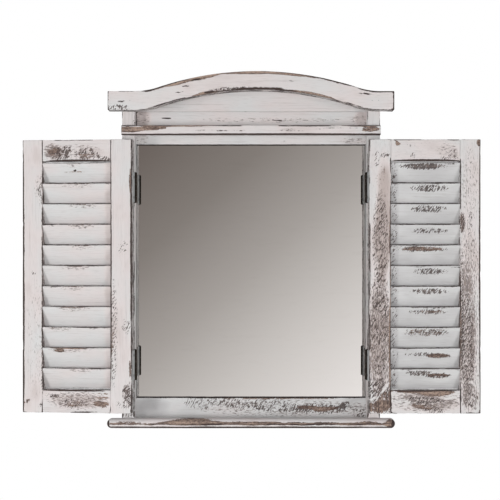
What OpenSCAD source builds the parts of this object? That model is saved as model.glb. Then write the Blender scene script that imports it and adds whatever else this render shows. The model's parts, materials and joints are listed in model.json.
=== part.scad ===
// Wall mirror framed like a small window, with a pair of louvred shutters.
// +X is to the right, +Y goes back into the wall and +Z is up.
// The origin is on the wall plane, midway between the two keyhole hangers.

/* [Case] */
// Width across the outer faces of the two posts
case_w = 385; // [300:1:520]
// Width of a post's front face
post_w = 19; // [17:0.5:30]
// Depth of a post, from the wall to its front face
post_d = 35; // [33:0.5:60]
// How far the posts stop below the top of the cornice's ends
post_drop = 2; // [1:0.5:8]
// Thickness of the boards set back between the posts
board_t = 11; // [9:0.5:13]
// Height of the apron board that shows over the sill
apron_h = 26.8; // [22:0.2:50]
// Height of the frieze board over the glass
frieze_h = 49.3; // [42:0.1:70]
// Width of the chamfer along the edges of the straight boards
chamfer = 0.8; // [0.3:0.1:1.2]

/* [Cornice] */
// Height of the cornice board, the same all along its arch
cornice_h = 28; // [20:0.5:40]
// Thickness of the cornice board
cornice_t = 20; // [10:0.5:24]
// How far the cornice runs out past each post
cornice_overhang = 18.5; // [8:0.5:40]
// Rise of the arch over the cornice's straight ends
arch_rise = 30; // [15:1:45]
// Half the width of the arch, foot to middle
arch_half_w = 183; // [120:1:190]
// How far the arch was sawn to the right of the middle
arch_shift = 9; // [-12:1:12]
// Share of the arch's half width that bends down; the rest bends back up
crown_share = 0.8; // [0.6:0.05:0.9]
// How far the pediment board stays under the cornice's top edge
pediment_drop = 6; // [3:0.5:12]
// Gap seen between the cross moulding and the cornice's ends
pediment_gap = 20.5; // [15:0.1:60]

/* [Cross moulding] */
// Height of the moulding that crosses the posts over the shutters
moulding_h = 15; // [8:0.2:20]
// Thickness of the cross moulding
moulding_t = 8; // [5:0.5:12]
// Radius of its two front edges
moulding_r = 1.6; // [0.6:0.2:2.4]

/* [Sill] */
// Thickness of the sill at its nose
sill_t = 14.5; // [11:0.5:20]
// How far the posts and the apron stand down behind the nose
sill_rebate = 6; // [2:0.5:6]
// How far the sill runs out past each post
sill_overhang = 21; // [12:0.5:40]
// How far the sill stands out in front of the posts
sill_projection = 15; // [12:0.5:40]

/* [Glass] */
// Thickness of the mirror glass
glass_t = 3; // [2:0.5:3.5]
// Thickness of the backing board
backing_t = 3; // [2:0.5:3.5]
// Width of the rebate that holds the glass, in the posts and the boards
rebate_w = 6; // [4:0.5:7]
// Room between the glass and the rebate's wall
glass_play = 0.8; // [0.3:0.1:1.5]

/* [Shutters] */
// Height of a shutter
shutter_h = 403.5; // [360:0.5:560]
// Thickness of a shutter
shutter_t = 18; // [16:0.5:21]
// Gap left between the two shutters when both are closed
meet_gap = 13; // [2:0.5:16]
// Gap between the sill and a shutter's bottom edge
shutter_rise = 9.4; // [4:0.2:20]
// Gap between a shutter's top edge and the cross moulding
shutter_head_gap = 7.6; // [4:0.2:20]
// How far a closed shutter laps over the frieze board, its upper stop
stop_lap = 3.6; // [2:0.2:8]
// Gap between a closed shutter and the boards behind it
stop_gap = 0.5; // [0.3:0.1:1]
// Width of the stile on the free edge
free_stile_w = 30.5; // [24:0.5:40]
// Width of the stile that carries the hinges
hinge_stile_w = 32; // [26:0.5:44]
// Height of the top rail
top_rail_h = 32; // [24:0.5:45]
// Height of the bottom rail
bottom_rail_h = 34; // [24:0.5:45]
// Length of a rail's tenon
tenon_l = 12; // [8:0.5:16]
// Thickness of a rail's tenon
tenon_t = 6; // [4:0.5:8]
// Shoulder above and below a tenon
tenon_shoulder = 5; // [3:0.5:8]
// How far the left shutter is swung open, past square to flat on the wall
left_open_deg = 185; // [0:1:190]
// How far the right shutter is swung open
right_open_deg = 181; // [0:1:190]

/* [Louvres] */
// Number of slats in a shutter
slat_count = 11; // [8:1:12]
// Thickness of a slat
slat_t = 5; // [3.5:0.5:6]
// Lean of a slat from upright
slat_angle = 24; // [20:1:26]
// How far a slat's edges stay inside the shutter's faces
slat_inset = 0.5; // [0.3:0.1:1.5]
// Gap over the uppermost slat
slat_top_gap = 1.5; // [0.2:0.1:5]
// Gap under the lowest slat
slat_foot_gap = 0.4; // [0.2:0.1:3]
// Length of the stub tenon at each end of a slat
slat_tenon_l = 4; // [2:0.5:8]
// Shoulder of a slat's stub tenon, at its upper and lower edge
slat_shoulder = 5; // [3:0.5:8]

/* [Hinges] */
// Height of a butt hinge
hinge_h = 44; // [36:1:60]
// Distance from a shutter's end to the middle of its hinge
hinge_inset = 70; // [40:1:120]
// Thickness of a hinge leaf
leaf_t = 1.1; // [0.9:0.1:1.4]
// Width of a hinge leaf, from the knuckles
leaf_w = 13; // [10:0.5:13.5]
// Gap between the two leaves of a closed hinge
leaf_gap = 0.6; // [0.3:0.1:1]
// Outer radius of the knuckles
knuckle_r = 2.3; // [2.1:0.1:3]
// Number of knuckles in a hinge
knuckle_count = 5; // [3:2:7]
// Gap between two knuckles
knuckle_gap = 0.3; // [0.2:0.1:0.5]
// Radius of a hinge pin
hinge_pin_r = 1.15; // [0.8:0.05:1.3]
// Running clearance round a hinge pin
pin_play = 0.05; // [0.02:0.01:0.1]
// Distance between the two screws of a leaf
leaf_screw_pitch = 30; // [20:1:34]
// Length of a hinge screw
leaf_screw_l = 11; // [8:0.5:14]
// Radius of a hinge screw's shank
leaf_screw_r = 1.2; // [0.8:0.1:1.4]

/* [Hangers] */
// Distance from the posts' tops down to the keyholes' round ends
hanger_drop = 26; // [22:1:60]
// Width of a hanger plate
hanger_w = 15; // [13:0.5:16]
// Height of a hanger plate
hanger_h = 38; // [36:1:40]
// Thickness of a hanger plate
hanger_t = 1.2; // [0.8:0.1:2]
// Radius of a keyhole's round end, where the wall screw's head goes in
keyhole_r = 4.5; // [3.5:0.1:5]
// Width of a keyhole's slot
keyhole_slot_w = 4.4; // [3.2:0.1:5.2]
// Length of a keyhole's slot, up from the middle of its round end
keyhole_slot_l = 9; // [6.5:0.5:9.5]
// Depth of the pocket behind a keyhole, from the wall
pocket_d = 7.5; // [5:0.5:8.5]
// Length of a hanger's fixing screws
hanger_screw_l = 12; // [8:0.5:16]

/* [Fixings] */
// Length of the screws that hold the posts to the sill
sill_screw_l = 34; // [26:1:45]
// Length of the brads through the cornice
cornice_brad_l = 35; // [26:1:38]
// Length of the brads through the cross moulding
moulding_brad_l = 22; // [16:1:30]
// Radius of a brad
brad_r = 0.7; // [0.5:0.1:1]
// Distance from a post to the nearest panel pin in the backing board
panel_pin_margin = 16; // [8:1:40]
// Distance between the glazing points up each side of the backing board
point_pitch = 110; // [60:5:130]
// Clearance round tenons, tongues and screws
fit_gap = 0.1; // [0.05:0.01:0.2]

/* [Hidden] */
$fn = 64;

// A cut runs past the face it opens on by this much
over = 1;

wood_white = "#dcd6d3";
slat_white = "#d7d9d9";
iron_dark = "#3d3530";
zinc = "#b9babb";
silver_glass = "#a7acae";
hardboard_brown = "#8a6a4c";

// Heights, up from the sill's underside
sill_top_h = sill_t;
shutter_foot_h = sill_top_h + shutter_rise;
shutter_top_h = shutter_foot_h + shutter_h;
frieze_foot_h = shutter_top_h - stop_lap;
frieze_top_h = frieze_foot_h + frieze_h;
moulding_foot_h = shutter_top_h + shutter_head_gap;
cornice_foot_h = moulding_foot_h + moulding_h + pediment_gap;
cornice_top_h = cornice_foot_h + cornice_h;
post_top_h = cornice_top_h - post_drop;

// The same heights in the part's frame, where the hangers are at 0
base_z = hanger_drop - post_top_h;
sill_top_z = base_z + sill_top_h;
sill_seat_z = sill_top_z - sill_rebate;
shutter_foot_z = base_z + shutter_foot_h;
shutter_top_z = base_z + shutter_top_h;
apron_top_z = sill_top_z + apron_h;
frieze_foot_z = base_z + frieze_foot_h;
frieze_top_z = base_z + frieze_top_h;
moulding_foot_z = base_z + moulding_foot_h;
cornice_foot_z = base_z + cornice_foot_h;
cornice_top_z = base_z + cornice_top_h;
post_top_z = hanger_drop;

// Widths
opening_w = case_w - 2 * post_w;
cornice_w = case_w + 2 * cornice_overhang;
sill_w = case_w + 2 * sill_overhang;
sill_d = post_d + sill_projection;
post_x = (opening_w + post_w) / 2;

// Depths: y is negative in front of the wall
board_front_y = shutter_t + stop_gap - post_d;
board_back_y = board_front_y + board_t;
glass_front_y = board_back_y - glass_t;
backing_back_y = board_back_y + backing_t;

// Tongues of the boards, and the grooves in the posts that take them
tongue_t = 5;
tongue_l = 5;
tongue_front_y = board_front_y + 2;

// Glass and backing board
glass_w = opening_w + 2 * (rebate_w - glass_play);
glass_foot_z = apron_top_z - rebate_w + glass_play;
glass_top_z = frieze_foot_z + rebate_w - glass_play;
rebate_over_glass = 20;
rebate_top_z = glass_top_z + rebate_over_glass;
backing_foot_z = sill_top_z + glass_play;
backing_top_z = rebate_top_z - glass_play;

// Hinge line: half a hinge gap in from the post, knuckles just in front of it
hinge_gap = 2 * leaf_t + leaf_gap;
axis_x = (opening_w - hinge_gap) / 2;
axis_y = -post_d - knuckle_r;
lower_hinge_z = shutter_foot_z + hinge_inset;
upper_hinge_z = shutter_top_z - hinge_inset;
pin_bore_r = hinge_pin_r + pin_play;
knuckle_h = (hinge_h - (knuckle_count - 1) * knuckle_gap) / knuckle_count;
leaf_start = knuckle_r + knuckle_gap;
leaf_screw_y = leaf_start + leaf_w / 2;
pin_head_r = 1.7;
pin_head_h = 0.8;
screw_head_r = 2.3;
screw_head_h = leaf_t - 0.1;
screw_slot_w = 0.7;
screw_slot_d = 0.5;

// Shutter, measured from its hinge line when closed
shutter_w = (opening_w - 2 * hinge_gap - meet_gap) / 2;
hinge_edge = hinge_gap / 2;
free_edge = hinge_edge + shutter_w;
shutter_front = knuckle_r;
shutter_mid = shutter_front + shutter_t / 2;
slat_from = hinge_edge + hinge_stile_w;
slat_to = free_edge - free_stile_w;
louvre_foot_z = shutter_foot_z + bottom_rail_h;
louvre_top_z = shutter_top_z - top_rail_h;

// Slats: as wide as their lean allows inside the shutter's thickness
slat_w = (shutter_t - 2 * slat_inset - slat_t) / sin(slat_angle) + slat_t;
slat_reach = (slat_w - slat_t) * cos(slat_angle) + slat_t;
slat_first_z = louvre_top_z - slat_top_gap - slat_reach / 2;
slat_last_z = louvre_foot_z + slat_foot_gap + slat_reach / 2;
slat_pitch = (slat_first_z - slat_last_z) / (slat_count - 1);

// Arch: two arcs that meet at the same slope
arch_turn = 2 * atan(arch_rise / arch_half_w);
arch_r = arch_half_w / sin(arch_turn);
crown_r = arch_r * crown_share;
foot_r = arch_r - crown_r;
bend_x = crown_r * sin(arch_turn);
bend_z = foot_r * (1 - cos(arch_turn));

// Hangers
hanger_screw_r = 1.5;
hanger_head_r = 3;
hanger_head_h = 1.1;
hanger_mid_z = keyhole_slot_l / 2 - 1;
hanger_screw_z = hanger_h / 2 - 4;
pocket_w = 2 * keyhole_r + 2;

// Fixings
sill_screw_r = 1.75;
sill_head_r = 3.4;
sill_head_h = 2.4;
sill_screw_y = [-0.3 * post_d, -0.72 * post_d];
panel_pin_r = 0.6;
panel_pin_head_r = 1.5;
panel_pin_head_h = 0.5;
panel_pin_l = 8;
panel_pin_count = 4;
panel_pin_pitch = (opening_w - 2 * panel_pin_margin) / (panel_pin_count - 1);
point_t = 0.8;
point_w = 9;
point_l = 13;
point_bite = 5;

SIDES = ["left", "right"];
LEVELS = ["lower", "upper"];

function two_digits(i) = i < 10 ? str("0", i) : str(i);
function slat_name(side, i) = str(side, "_slat_", two_digits(i));
function hinge_z(level) = level == "lower" ? lower_hinge_z : upper_hinge_z;
function open_deg(side) = side == "left" ? left_open_deg : right_open_deg;

// ---- Shared shapes ----

// Left side as drawn, right side as its mirror image
module on_side(side) {
    if (side == "left") children();
    else mirror([1, 0, 0]) children();
}

// Puts a shutter, drawn closed with its hinge line on the Z axis, on its hinges
module on_hinges(side) {
    on_side(side)
        translate([-axis_x, axis_y, 0])
            rotate([0, 0, -open_deg(side)])
                children();
}

// Puts the fixed half of a hinge on the post
module on_post(side) {
    on_side(side)
        translate([-axis_x, axis_y, 0])
            children();
}

// Outline a by b with its corner on the origin and all four corners chamfered
module chamfered_rect(a, b, c = chamfer) {
    polygon([[c, 0], [a - c, 0], [a, c], [a, b - c], [a - c, b], [c, b], [0, b - c], [0, c]]);
}

// Carries a YZ outline along X
module along_x(length) {
    rotate([90, 0, 90])
        linear_extrude(length)
            children();
}

// Carries an XZ outline along Y, back from y = 0
module along_y(length) {
    translate([0, length, 0])
        rotate([90, 0, 0])
            linear_extrude(length)
                children();
}

// Board with long chamfers, lying along X with its corner on the origin
module board_x(length, depth, height) {
    along_x(length)
        chamfered_rect(depth, height);
}

// Upright board with long chamfers and its corner on the origin
module board_z(width, depth, length) {
    linear_extrude(length)
        chamfered_rect(width, depth);
}

// Strip with half-round edges, centred, its length along the outline's Y
module round_edged(width, thickness) {
    straight = width - thickness;
    square([thickness, straight], center = true);
    for (end = [-1, 1])
        translate([0, end * straight / 2])
            circle(d = thickness);
}

// Area under one arch from its foot line, made of a crown arc and two foot arcs
module arch_hill() {
    intersection() {
        translate([0, arch_rise - crown_r])
            circle(crown_r);
        translate([-bend_x, 0])
            square([2 * bend_x, arch_rise + over]);
    }
    for (side = [-1, 1])
        scale([side, 1])
            difference() {
                translate([bend_x - over, 0])
                    square([arch_half_w - bend_x + over, bend_z]);
                translate([arch_half_w, foot_r])
                    circle(foot_r);
            }
}

// Flat-head screw driven along -Z, its head flush with z = 0
module flat_screw(length, shank_r, head_r, head_h, slot_w, slot_d) {
    difference() {
        union() {
            translate([0, 0, -head_h])
                cylinder(h = head_h, r1 = shank_r, r2 = head_r);
            translate([0, 0, -length + 2 * shank_r])
                cylinder(h = length - 2 * shank_r - head_h / 2, r = shank_r);
            translate([0, 0, -length])
                cylinder(h = 2 * shank_r, r1 = shank_r / 4, r2 = shank_r);
        }
        translate([-head_r - over, -slot_w / 2, -slot_d])
            cube([2 * (head_r + over), slot_w, slot_d + over]);
    }
}

// Room for a flat-head screw: a pilot hole and a countersink, open above z = 0
module flat_screw_room(length, shank_r, head_r, head_h) {
    translate([0, 0, -length - fit_gap])
        cylinder(h = length + fit_gap + over, r = shank_r + fit_gap);
    translate([0, 0, -head_h - fit_gap])
        cylinder(h = head_h + fit_gap, r1 = shank_r + fit_gap, r2 = head_r + fit_gap);
    cylinder(h = over, r = head_r + fit_gap);
}

// Headless brad driven along +Y from y = 0
module brad(length) {
    rotate([-90, 0, 0])
        cylinder(h = length, r = brad_r);
}

// ---- Where the fixings go ----

// The two hinges' screw places on a leaf; +Z of each points out of the leaf towards the shutter
module at_post_leaf_screws(level) {
    for (end = [-1, 1])
        translate([-leaf_gap / 2, leaf_screw_y, hinge_z(level) + end * leaf_screw_pitch / 2])
            rotate([0, 90, 0])
                children();
}

// The same on the shutter's leaf, drawn closed
module at_shutter_leaf_screws(level) {
    for (end = [-1, 1])
        translate([leaf_gap / 2, leaf_screw_y, hinge_z(level) + end * leaf_screw_pitch / 2])
            rotate([0, -90, 0])
                children();
}

// The two fixing screws of the left hanger, heads on the wall plane
module at_hanger_screws() {
    for (end = [-1, 1])
        translate([-post_x, 0, hanger_mid_z + end * hanger_screw_z])
            rotate([-90, 0, 0])
                children();
}

// The screws up through the sill into the left post
module at_sill_screws() {
    for (y = sill_screw_y)
        translate([-post_x, y, base_z])
            rotate([180, 0, 0])
                children();
}

// The brads through the left end of the cornice
module at_cornice_brads() {
    for (end = [-1, 1])
        translate([-post_x + end * post_w / 4, -post_d - cornice_t, cornice_foot_z + cornice_h / 2])
            children();
}

// The brads through the left end of the cross moulding
module at_moulding_brads() {
    for (end = [-1, 1])
        translate([-post_x + end * post_w / 4, -post_d - moulding_t, moulding_foot_z + moulding_h / 2])
            children();
}

// The panel pins along the backing board's top and bottom
module at_backing_pins() {
    first_x = panel_pin_margin - opening_w / 2;
    for (i = [0:panel_pin_count - 1], z = [backing_foot_z + apron_h / 3, backing_top_z - rebate_over_glass / 3])
        translate([first_x + i * panel_pin_pitch, backing_back_y, z])
            rotate([-90, 0, 0])
                children();
}

// The glazing points up the left side of the backing board
module at_glazing_points() {
    middle = (backing_foot_z + backing_top_z) / 2;
    for (step = [-1:1])
        translate([-opening_w / 2 - rebate_w, backing_back_y, middle + step * point_pitch])
            children();
}

// ---- Case ----

// Left post: rebated for the glass, grooved for the boards' tongues
module post() {
    difference() {
        translate([-case_w / 2, -post_d, sill_seat_z])
            board_z(post_w, post_d, post_top_z - sill_seat_z);
        translate([-opening_w / 2 - rebate_w, glass_front_y, sill_seat_z - over])
            cube([rebate_w + over, post_d, rebate_top_z - sill_seat_z + over]);
        post_groove(sill_seat_z - over, apron_top_z);
        post_groove(frieze_foot_z, post_top_z + over);
        for (level = LEVELS)
            translate([-axis_x, axis_y, 0])
                at_post_leaf_screws(level)
                    flat_screw_room(leaf_screw_l, leaf_screw_r, leaf_screw_r, screw_head_h);
        hanger_recess();
        at_hanger_screws()
            flat_screw_room(hanger_screw_l, hanger_screw_r, hanger_screw_r, hanger_head_h);
        at_sill_screws()
            flat_screw_room(sill_screw_l, sill_screw_r, sill_screw_r, sill_head_h);
        at_cornice_brads()
            brad_room(cornice_brad_l);
        at_moulding_brads()
            brad_room(moulding_brad_l);
        at_glazing_points()
            point_blank(fit_gap / 2);
    }
}

// Groove for the boards' tongues, between two heights on the left post's inner face
module post_groove(foot_z, top_z) {
    translate([-opening_w / 2 - tongue_l - fit_gap, tongue_front_y - fit_gap, foot_z - fit_gap])
        cube([tongue_l + fit_gap + over, tongue_t + 2 * fit_gap, top_z - foot_z + 2 * fit_gap]);
}

// Seat of the left hanger plate, and the pocket behind its keyhole
module hanger_recess() {
    translate([-post_x - hanger_w / 2 - fit_gap, -hanger_t, hanger_mid_z - hanger_h / 2 - fit_gap])
        cube([hanger_w + 2 * fit_gap, hanger_t + over, hanger_h + 2 * fit_gap]);
    translate([-post_x, -pocket_d, 0])
        along_y(pocket_d + over) {
            circle(d = pocket_w);
            translate([-pocket_w / 2, 0])
                square([pocket_w, keyhole_slot_l]);
            translate([0, keyhole_slot_l])
                circle(d = pocket_w);
        }
}

// Hole for a brad driven along +Y
module brad_room(length) {
    translate([0, -over, 0])
        rotate([-90, 0, 0])
            cylinder(h = length + over + fit_gap, r = brad_r + fit_gap / 2);
}

module side_post(side) {
    color(wood_white)
        on_side(side)
            post();
}

// Sill: a nose with a half-round front and ends, and behind it the ledge that the posts and the apron stand on
module sill_board() {
    nose_r = sill_t / 2;
    core_w = sill_w - sill_t;
    core_d = sill_d - nose_r;
    mid_z = base_z + nose_r;
    color(wood_white)
        difference() {
            union() {
                translate([-core_w / 2, -core_d, base_z])
                    cube([core_w, core_d - post_d, sill_t]);
                translate([-case_w / 2, -core_d, base_z])
                    cube([case_w, core_d, sill_t - sill_rebate]);
                translate([-core_w / 2, -core_d, mid_z])
                    rotate([0, 90, 0])
                        cylinder(h = core_w, r = nose_r);
                for (side = [-1, 1]) {
                    translate([side * core_w / 2, -post_d, mid_z])
                        rotate([90, 0, 0])
                            cylinder(h = core_d - post_d, r = nose_r);
                    translate([side * core_w / 2, -core_d, mid_z])
                        sphere(r = nose_r);
                }
            }
            for (side = SIDES)
                on_side(side)
                    at_sill_screws()
                        flat_screw_room(sill_screw_l, sill_screw_r, sill_head_r, sill_head_h);
        }
}

// Board between the posts, with a tongue at each end
module tongued_board(foot_z, height) {
    length = opening_w - 2 * fit_gap;
    translate([-length / 2, board_front_y, foot_z])
        board_x(length, board_t, height);
    translate([-opening_w / 2 - tongue_l, tongue_front_y, foot_z])
        cube([opening_w + 2 * tongue_l, tongue_t, height]);
}

// Rebate for the glass along the back of a board, from foot_z up
module glass_rebate(foot_z) {
    translate([-opening_w, glass_front_y, foot_z])
        cube([2 * opening_w, glass_t + over, rebate_w + over]);
}

// Holes for the panel pins, cut from what is behind the backing board too
module backing_pin_holes() {
    at_backing_pins()
        translate([0, 0, -panel_pin_l - fit_gap])
            cylinder(h = panel_pin_l + over, r = panel_pin_r + fit_gap / 2);
}

module apron_board() {
    color(wood_white)
        difference() {
            tongued_board(sill_seat_z, apron_h + sill_rebate);
            glass_rebate(apron_top_z - rebate_w);
            backing_pin_holes();
        }
}

module frieze_board() {
    color(wood_white)
        difference() {
            tongued_board(frieze_foot_z, frieze_h);
            glass_rebate(frieze_foot_z - over);
            backing_pin_holes();
        }
}

// Board behind the arch: its top edge follows the cornice
module pediment_board() {
    shoulder_h = cornice_top_z - pediment_drop - frieze_top_z;
    length = opening_w - 2 * fit_gap;
    color(wood_white) {
        translate([0, board_front_y, 0])
            along_y(board_t)
                intersection() {
                    union() {
                        translate([-length / 2, frieze_top_z])
                            square([length, shoulder_h]);
                        translate([arch_shift, frieze_top_z + shoulder_h])
                            arch_hill();
                    }
                    translate([-length / 2, frieze_top_z])
                        square([length, shoulder_h + arch_rise + over]);
                }
        translate([-opening_w / 2 - tongue_l, tongue_front_y, frieze_top_z])
            cube([opening_w + 2 * tongue_l, tongue_t, shoulder_h]);
    }
}

// Arched board across the fronts of the posts
module cornice_board() {
    color(wood_white)
        difference() {
            translate([0, -post_d - cornice_t, 0])
                along_y(cornice_t)
                    difference() {
                        union() {
                            translate([-cornice_w / 2, cornice_foot_z])
                                square([cornice_w, cornice_h]);
                            translate([arch_shift, cornice_top_z])
                                arch_hill();
                        }
                        translate([arch_shift, cornice_foot_z])
                            arch_hill();
                    }
            for (side = SIDES)
                on_side(side)
                    at_cornice_brads()
                        brad_room(cornice_brad_l);
        }
}

// Thin moulding across the posts, its two front edges rounded
module cross_moulding() {
    color(wood_white)
        difference() {
            translate([-case_w / 2, -post_d - moulding_t, moulding_foot_z])
                along_x(case_w) {
                    translate([moulding_r, 0])
                        square([moulding_t - moulding_r, moulding_h]);
                    translate([0, moulding_r])
                        square([moulding_t, moulding_h - 2 * moulding_r]);
                    for (z = [moulding_r, moulding_h - moulding_r])
                        translate([moulding_r, z])
                            circle(moulding_r);
                }
            for (side = SIDES)
                on_side(side)
                    at_moulding_brads()
                        brad_room(moulding_brad_l);
        }
}

module mirror_glass() {
    color(silver_glass)
        translate([-glass_w / 2, glass_front_y, glass_foot_z])
            cube([glass_w, glass_t, glass_top_z - glass_foot_z]);
}

module backing_board() {
    color(hardboard_brown)
        difference() {
            translate([-glass_w / 2, board_back_y, backing_foot_z])
                cube([glass_w, backing_t, backing_top_z - backing_foot_z]);
            backing_pin_holes();
        }
}

// ---- Shutters, drawn closed with the hinge line on the Z axis ----

// Slat places: z of a slat's middle
function slat_z(i) = slat_first_z - (i - 1) * slat_pitch;

// Outline of a slat, leaning so that its top is at the shutter's back
module slat_outline(width) {
    rotate(-slat_angle)
        round_edged(width, slat_t);
}

module slat(i) {
    length = slat_to - slat_from;
    translate([slat_from + fit_gap, shutter_mid, slat_z(i)])
        along_x(length - 2 * fit_gap)
            slat_outline(slat_w);
    translate([slat_from - slat_tenon_l, shutter_mid, slat_z(i)])
        along_x(length + 2 * slat_tenon_l)
            slat_outline(slat_w - 2 * slat_shoulder);
}

// Mortises for every slat, reaching past both inner edges of the stiles
module slat_mortises() {
    room = slat_tenon_l + fit_gap;
    for (i = [1:slat_count])
        translate([slat_from - room, shutter_mid, slat_z(i)])
            along_x(slat_to - slat_from + 2 * room)
                rotate(-slat_angle)
                    round_edged(slat_w - 2 * slat_shoulder + 2 * fit_gap, slat_t + 2 * fit_gap);
}

// A rail's tenons and the mortises that take them, drawn as one bar
module tenon_bar(foot_z, height, gap) {
    reach = tenon_l + gap;
    translate([slat_from - reach, shutter_mid - tenon_t / 2 - gap, foot_z + tenon_shoulder - gap])
        cube([slat_to - slat_from + 2 * reach, tenon_t + 2 * gap, height - 2 * tenon_shoulder + 2 * gap]);
}

module stile(from, width) {
    difference() {
        translate([from, shutter_front, shutter_foot_z])
            board_z(width, shutter_t, shutter_h);
        tenon_bar(shutter_foot_z, bottom_rail_h, fit_gap);
        tenon_bar(louvre_top_z, top_rail_h, fit_gap);
        slat_mortises();
        for (level = LEVELS)
            at_shutter_leaf_screws(level)
                flat_screw_room(leaf_screw_l, leaf_screw_r, leaf_screw_r, screw_head_h);
    }
}

module rail(foot_z, height) {
    translate([slat_from + fit_gap, shutter_front, foot_z])
        board_x(slat_to - slat_from - 2 * fit_gap, shutter_t, height);
    tenon_bar(foot_z, height, 0);
}

module hinge_stile(side) {
    color(wood_white)
        on_hinges(side)
            stile(hinge_edge, hinge_stile_w);
}

module free_stile(side) {
    color(wood_white)
        on_hinges(side)
            stile(slat_to, free_stile_w);
}

module top_rail(side) {
    color(wood_white)
        on_hinges(side)
            rail(louvre_top_z, top_rail_h);
}

module bottom_rail(side) {
    color(wood_white)
        on_hinges(side)
            rail(shutter_foot_z, bottom_rail_h);
}

module shutter_slat(side, i) {
    color(slat_white)
        on_hinges(side)
            slat(i);
}

// ---- Hinges ----

// One leaf on the +X side of the hinge line, with the knuckles whose number has this parity
module leaf(level, parity) {
    mid_z = hinge_z(level);
    foot_z = mid_z - hinge_h / 2;
    difference() {
        union() {
            translate([leaf_gap / 2, leaf_start, foot_z])
                cube([leaf_t, leaf_w, hinge_h]);
            for (k = [parity:2:knuckle_count - 1])
                translate([0, 0, foot_z + k * (knuckle_h + knuckle_gap)]) {
                    cylinder(h = knuckle_h, r = knuckle_r);
                    translate([leaf_gap / 2, pin_bore_r, 0])
                        cube([leaf_t, leaf_start + over - pin_bore_r, knuckle_h]);
                }
        }
        translate([0, 0, foot_z - over])
            cylinder(h = hinge_h + 2 * over, r = pin_bore_r);
        at_shutter_leaf_screws(level)
            flat_screw_room(leaf_screw_l, leaf_screw_r, screw_head_r, screw_head_h);
    }
}

module post_leaf(side, level) {
    color(iron_dark)
        on_post(side)
            mirror([1, 0, 0])
                leaf(level, 0);
}

module shutter_leaf(side, level) {
    color(iron_dark)
        on_hinges(side)
            leaf(level, 1);
}

// Pins of the four hinges, with a button at each end
module hinge_pins() {
    color(iron_dark)
        for (side = SIDES, level = LEVELS)
            on_post(side)
                translate([0, 0, hinge_z(level)]) {
                    cylinder(h = hinge_h + 2 * pin_play + pin_head_h, r = hinge_pin_r, center = true);
                    for (end = [0, 1])
                        mirror([0, 0, end])
                            translate([0, 0, hinge_h / 2 + pin_play])
                                cylinder(h = pin_head_h, r1 = pin_head_r, r2 = pin_head_r - pin_head_h / 2);
                }
}

module leaf_screw() {
    flat_screw(leaf_screw_l, leaf_screw_r, screw_head_r, screw_head_h, screw_slot_w, screw_slot_d);
}

module shutter_screws(side) {
    color(iron_dark)
        on_hinges(side)
            for (level = LEVELS)
                at_shutter_leaf_screws(level)
                    leaf_screw();
}

module post_hinge_screws() {
    color(iron_dark)
        for (side = SIDES, level = LEVELS)
            on_post(side)
                at_post_leaf_screws(level)
                    leaf_screw();
}

// ---- Hangers and fixings ----

// Keyhole plate let into the back of the post, flush with the wall plane
module hanger(side) {
    color(zinc)
        on_side(side)
            difference() {
                translate([-post_x - hanger_w / 2, -hanger_t, hanger_mid_z - hanger_h / 2])
                    cube([hanger_w, hanger_t, hanger_h]);
                translate([-post_x, -hanger_t - over, 0])
                    along_y(hanger_t + 2 * over) {
                        circle(keyhole_r);
                        translate([-keyhole_slot_w / 2, 0])
                            square([keyhole_slot_w, keyhole_slot_l]);
                        translate([0, keyhole_slot_l])
                            circle(d = keyhole_slot_w);
                    }
                at_hanger_screws()
                    flat_screw_room(hanger_screw_l, hanger_screw_r, hanger_head_r, hanger_head_h);
            }
}

module hanger_screws() {
    color(zinc)
        for (side = SIDES)
            on_side(side)
                at_hanger_screws()
                    flat_screw(hanger_screw_l, hanger_screw_r, hanger_head_r, hanger_head_h, screw_slot_w, screw_slot_d);
}

module sill_screws() {
    color(zinc)
        for (side = SIDES)
            on_side(side)
                at_sill_screws()
                    flat_screw(sill_screw_l, sill_screw_r, sill_head_r, sill_head_h, screw_slot_w, screw_slot_d);
}

module cornice_brads() {
    color(zinc)
        for (side = SIDES)
            on_side(side)
                at_cornice_brads()
                    brad(cornice_brad_l);
}

module moulding_brads() {
    color(zinc)
        for (side = SIDES)
            on_side(side)
                at_moulding_brads()
                    brad(moulding_brad_l);
}

module backing_pins() {
    color(zinc)
        at_backing_pins() {
            translate([0, 0, -panel_pin_l])
                cylinder(h = panel_pin_l, r = panel_pin_r);
            cylinder(h = panel_pin_head_h, r = panel_pin_head_r);
        }
}

// Flat point: it lies on the backing board and bites into the left post; gap widens its slit
module point_blank(gap) {
    translate([-point_bite - gap, -gap, -point_w / 2 - gap])
        cube([point_l + gap, point_t + 2 * gap, point_w + 2 * gap]);
}

module glazing_points() {
    color(zinc)
        for (side = SIDES)
            on_side(side)
                at_glazing_points()
                    point_blank(0);
}

// ---- Nodes ----

for (side = SIDES) {
    side_post(side);
    hinge_stile(side);
    free_stile(side);
    top_rail(side);
    bottom_rail(side);
    for (i = [1:slat_count])
        shutter_slat(side, i);
    for (level = LEVELS) {
        post_leaf(side, level);
        shutter_leaf(side, level);
    }
    shutter_screws(side);
    hanger(side);
}
sill_board();
apron_board();
frieze_board();
pediment_board();
cornice_board();
cross_moulding();
mirror_glass();
backing_board();
hinge_pins();
post_hinge_screws();
hanger_screws();
sill_screws();
cornice_brads();
moulding_brads();
backing_pins();
glazing_points();
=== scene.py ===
"""Wall mirror framed like a small window, with a pair of louvred shutters, in whitewashed pine.

Each wooden piece is an outline with rounded corners, carried along a row of stations and worn at its edges.
"""
import json
import zlib

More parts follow.
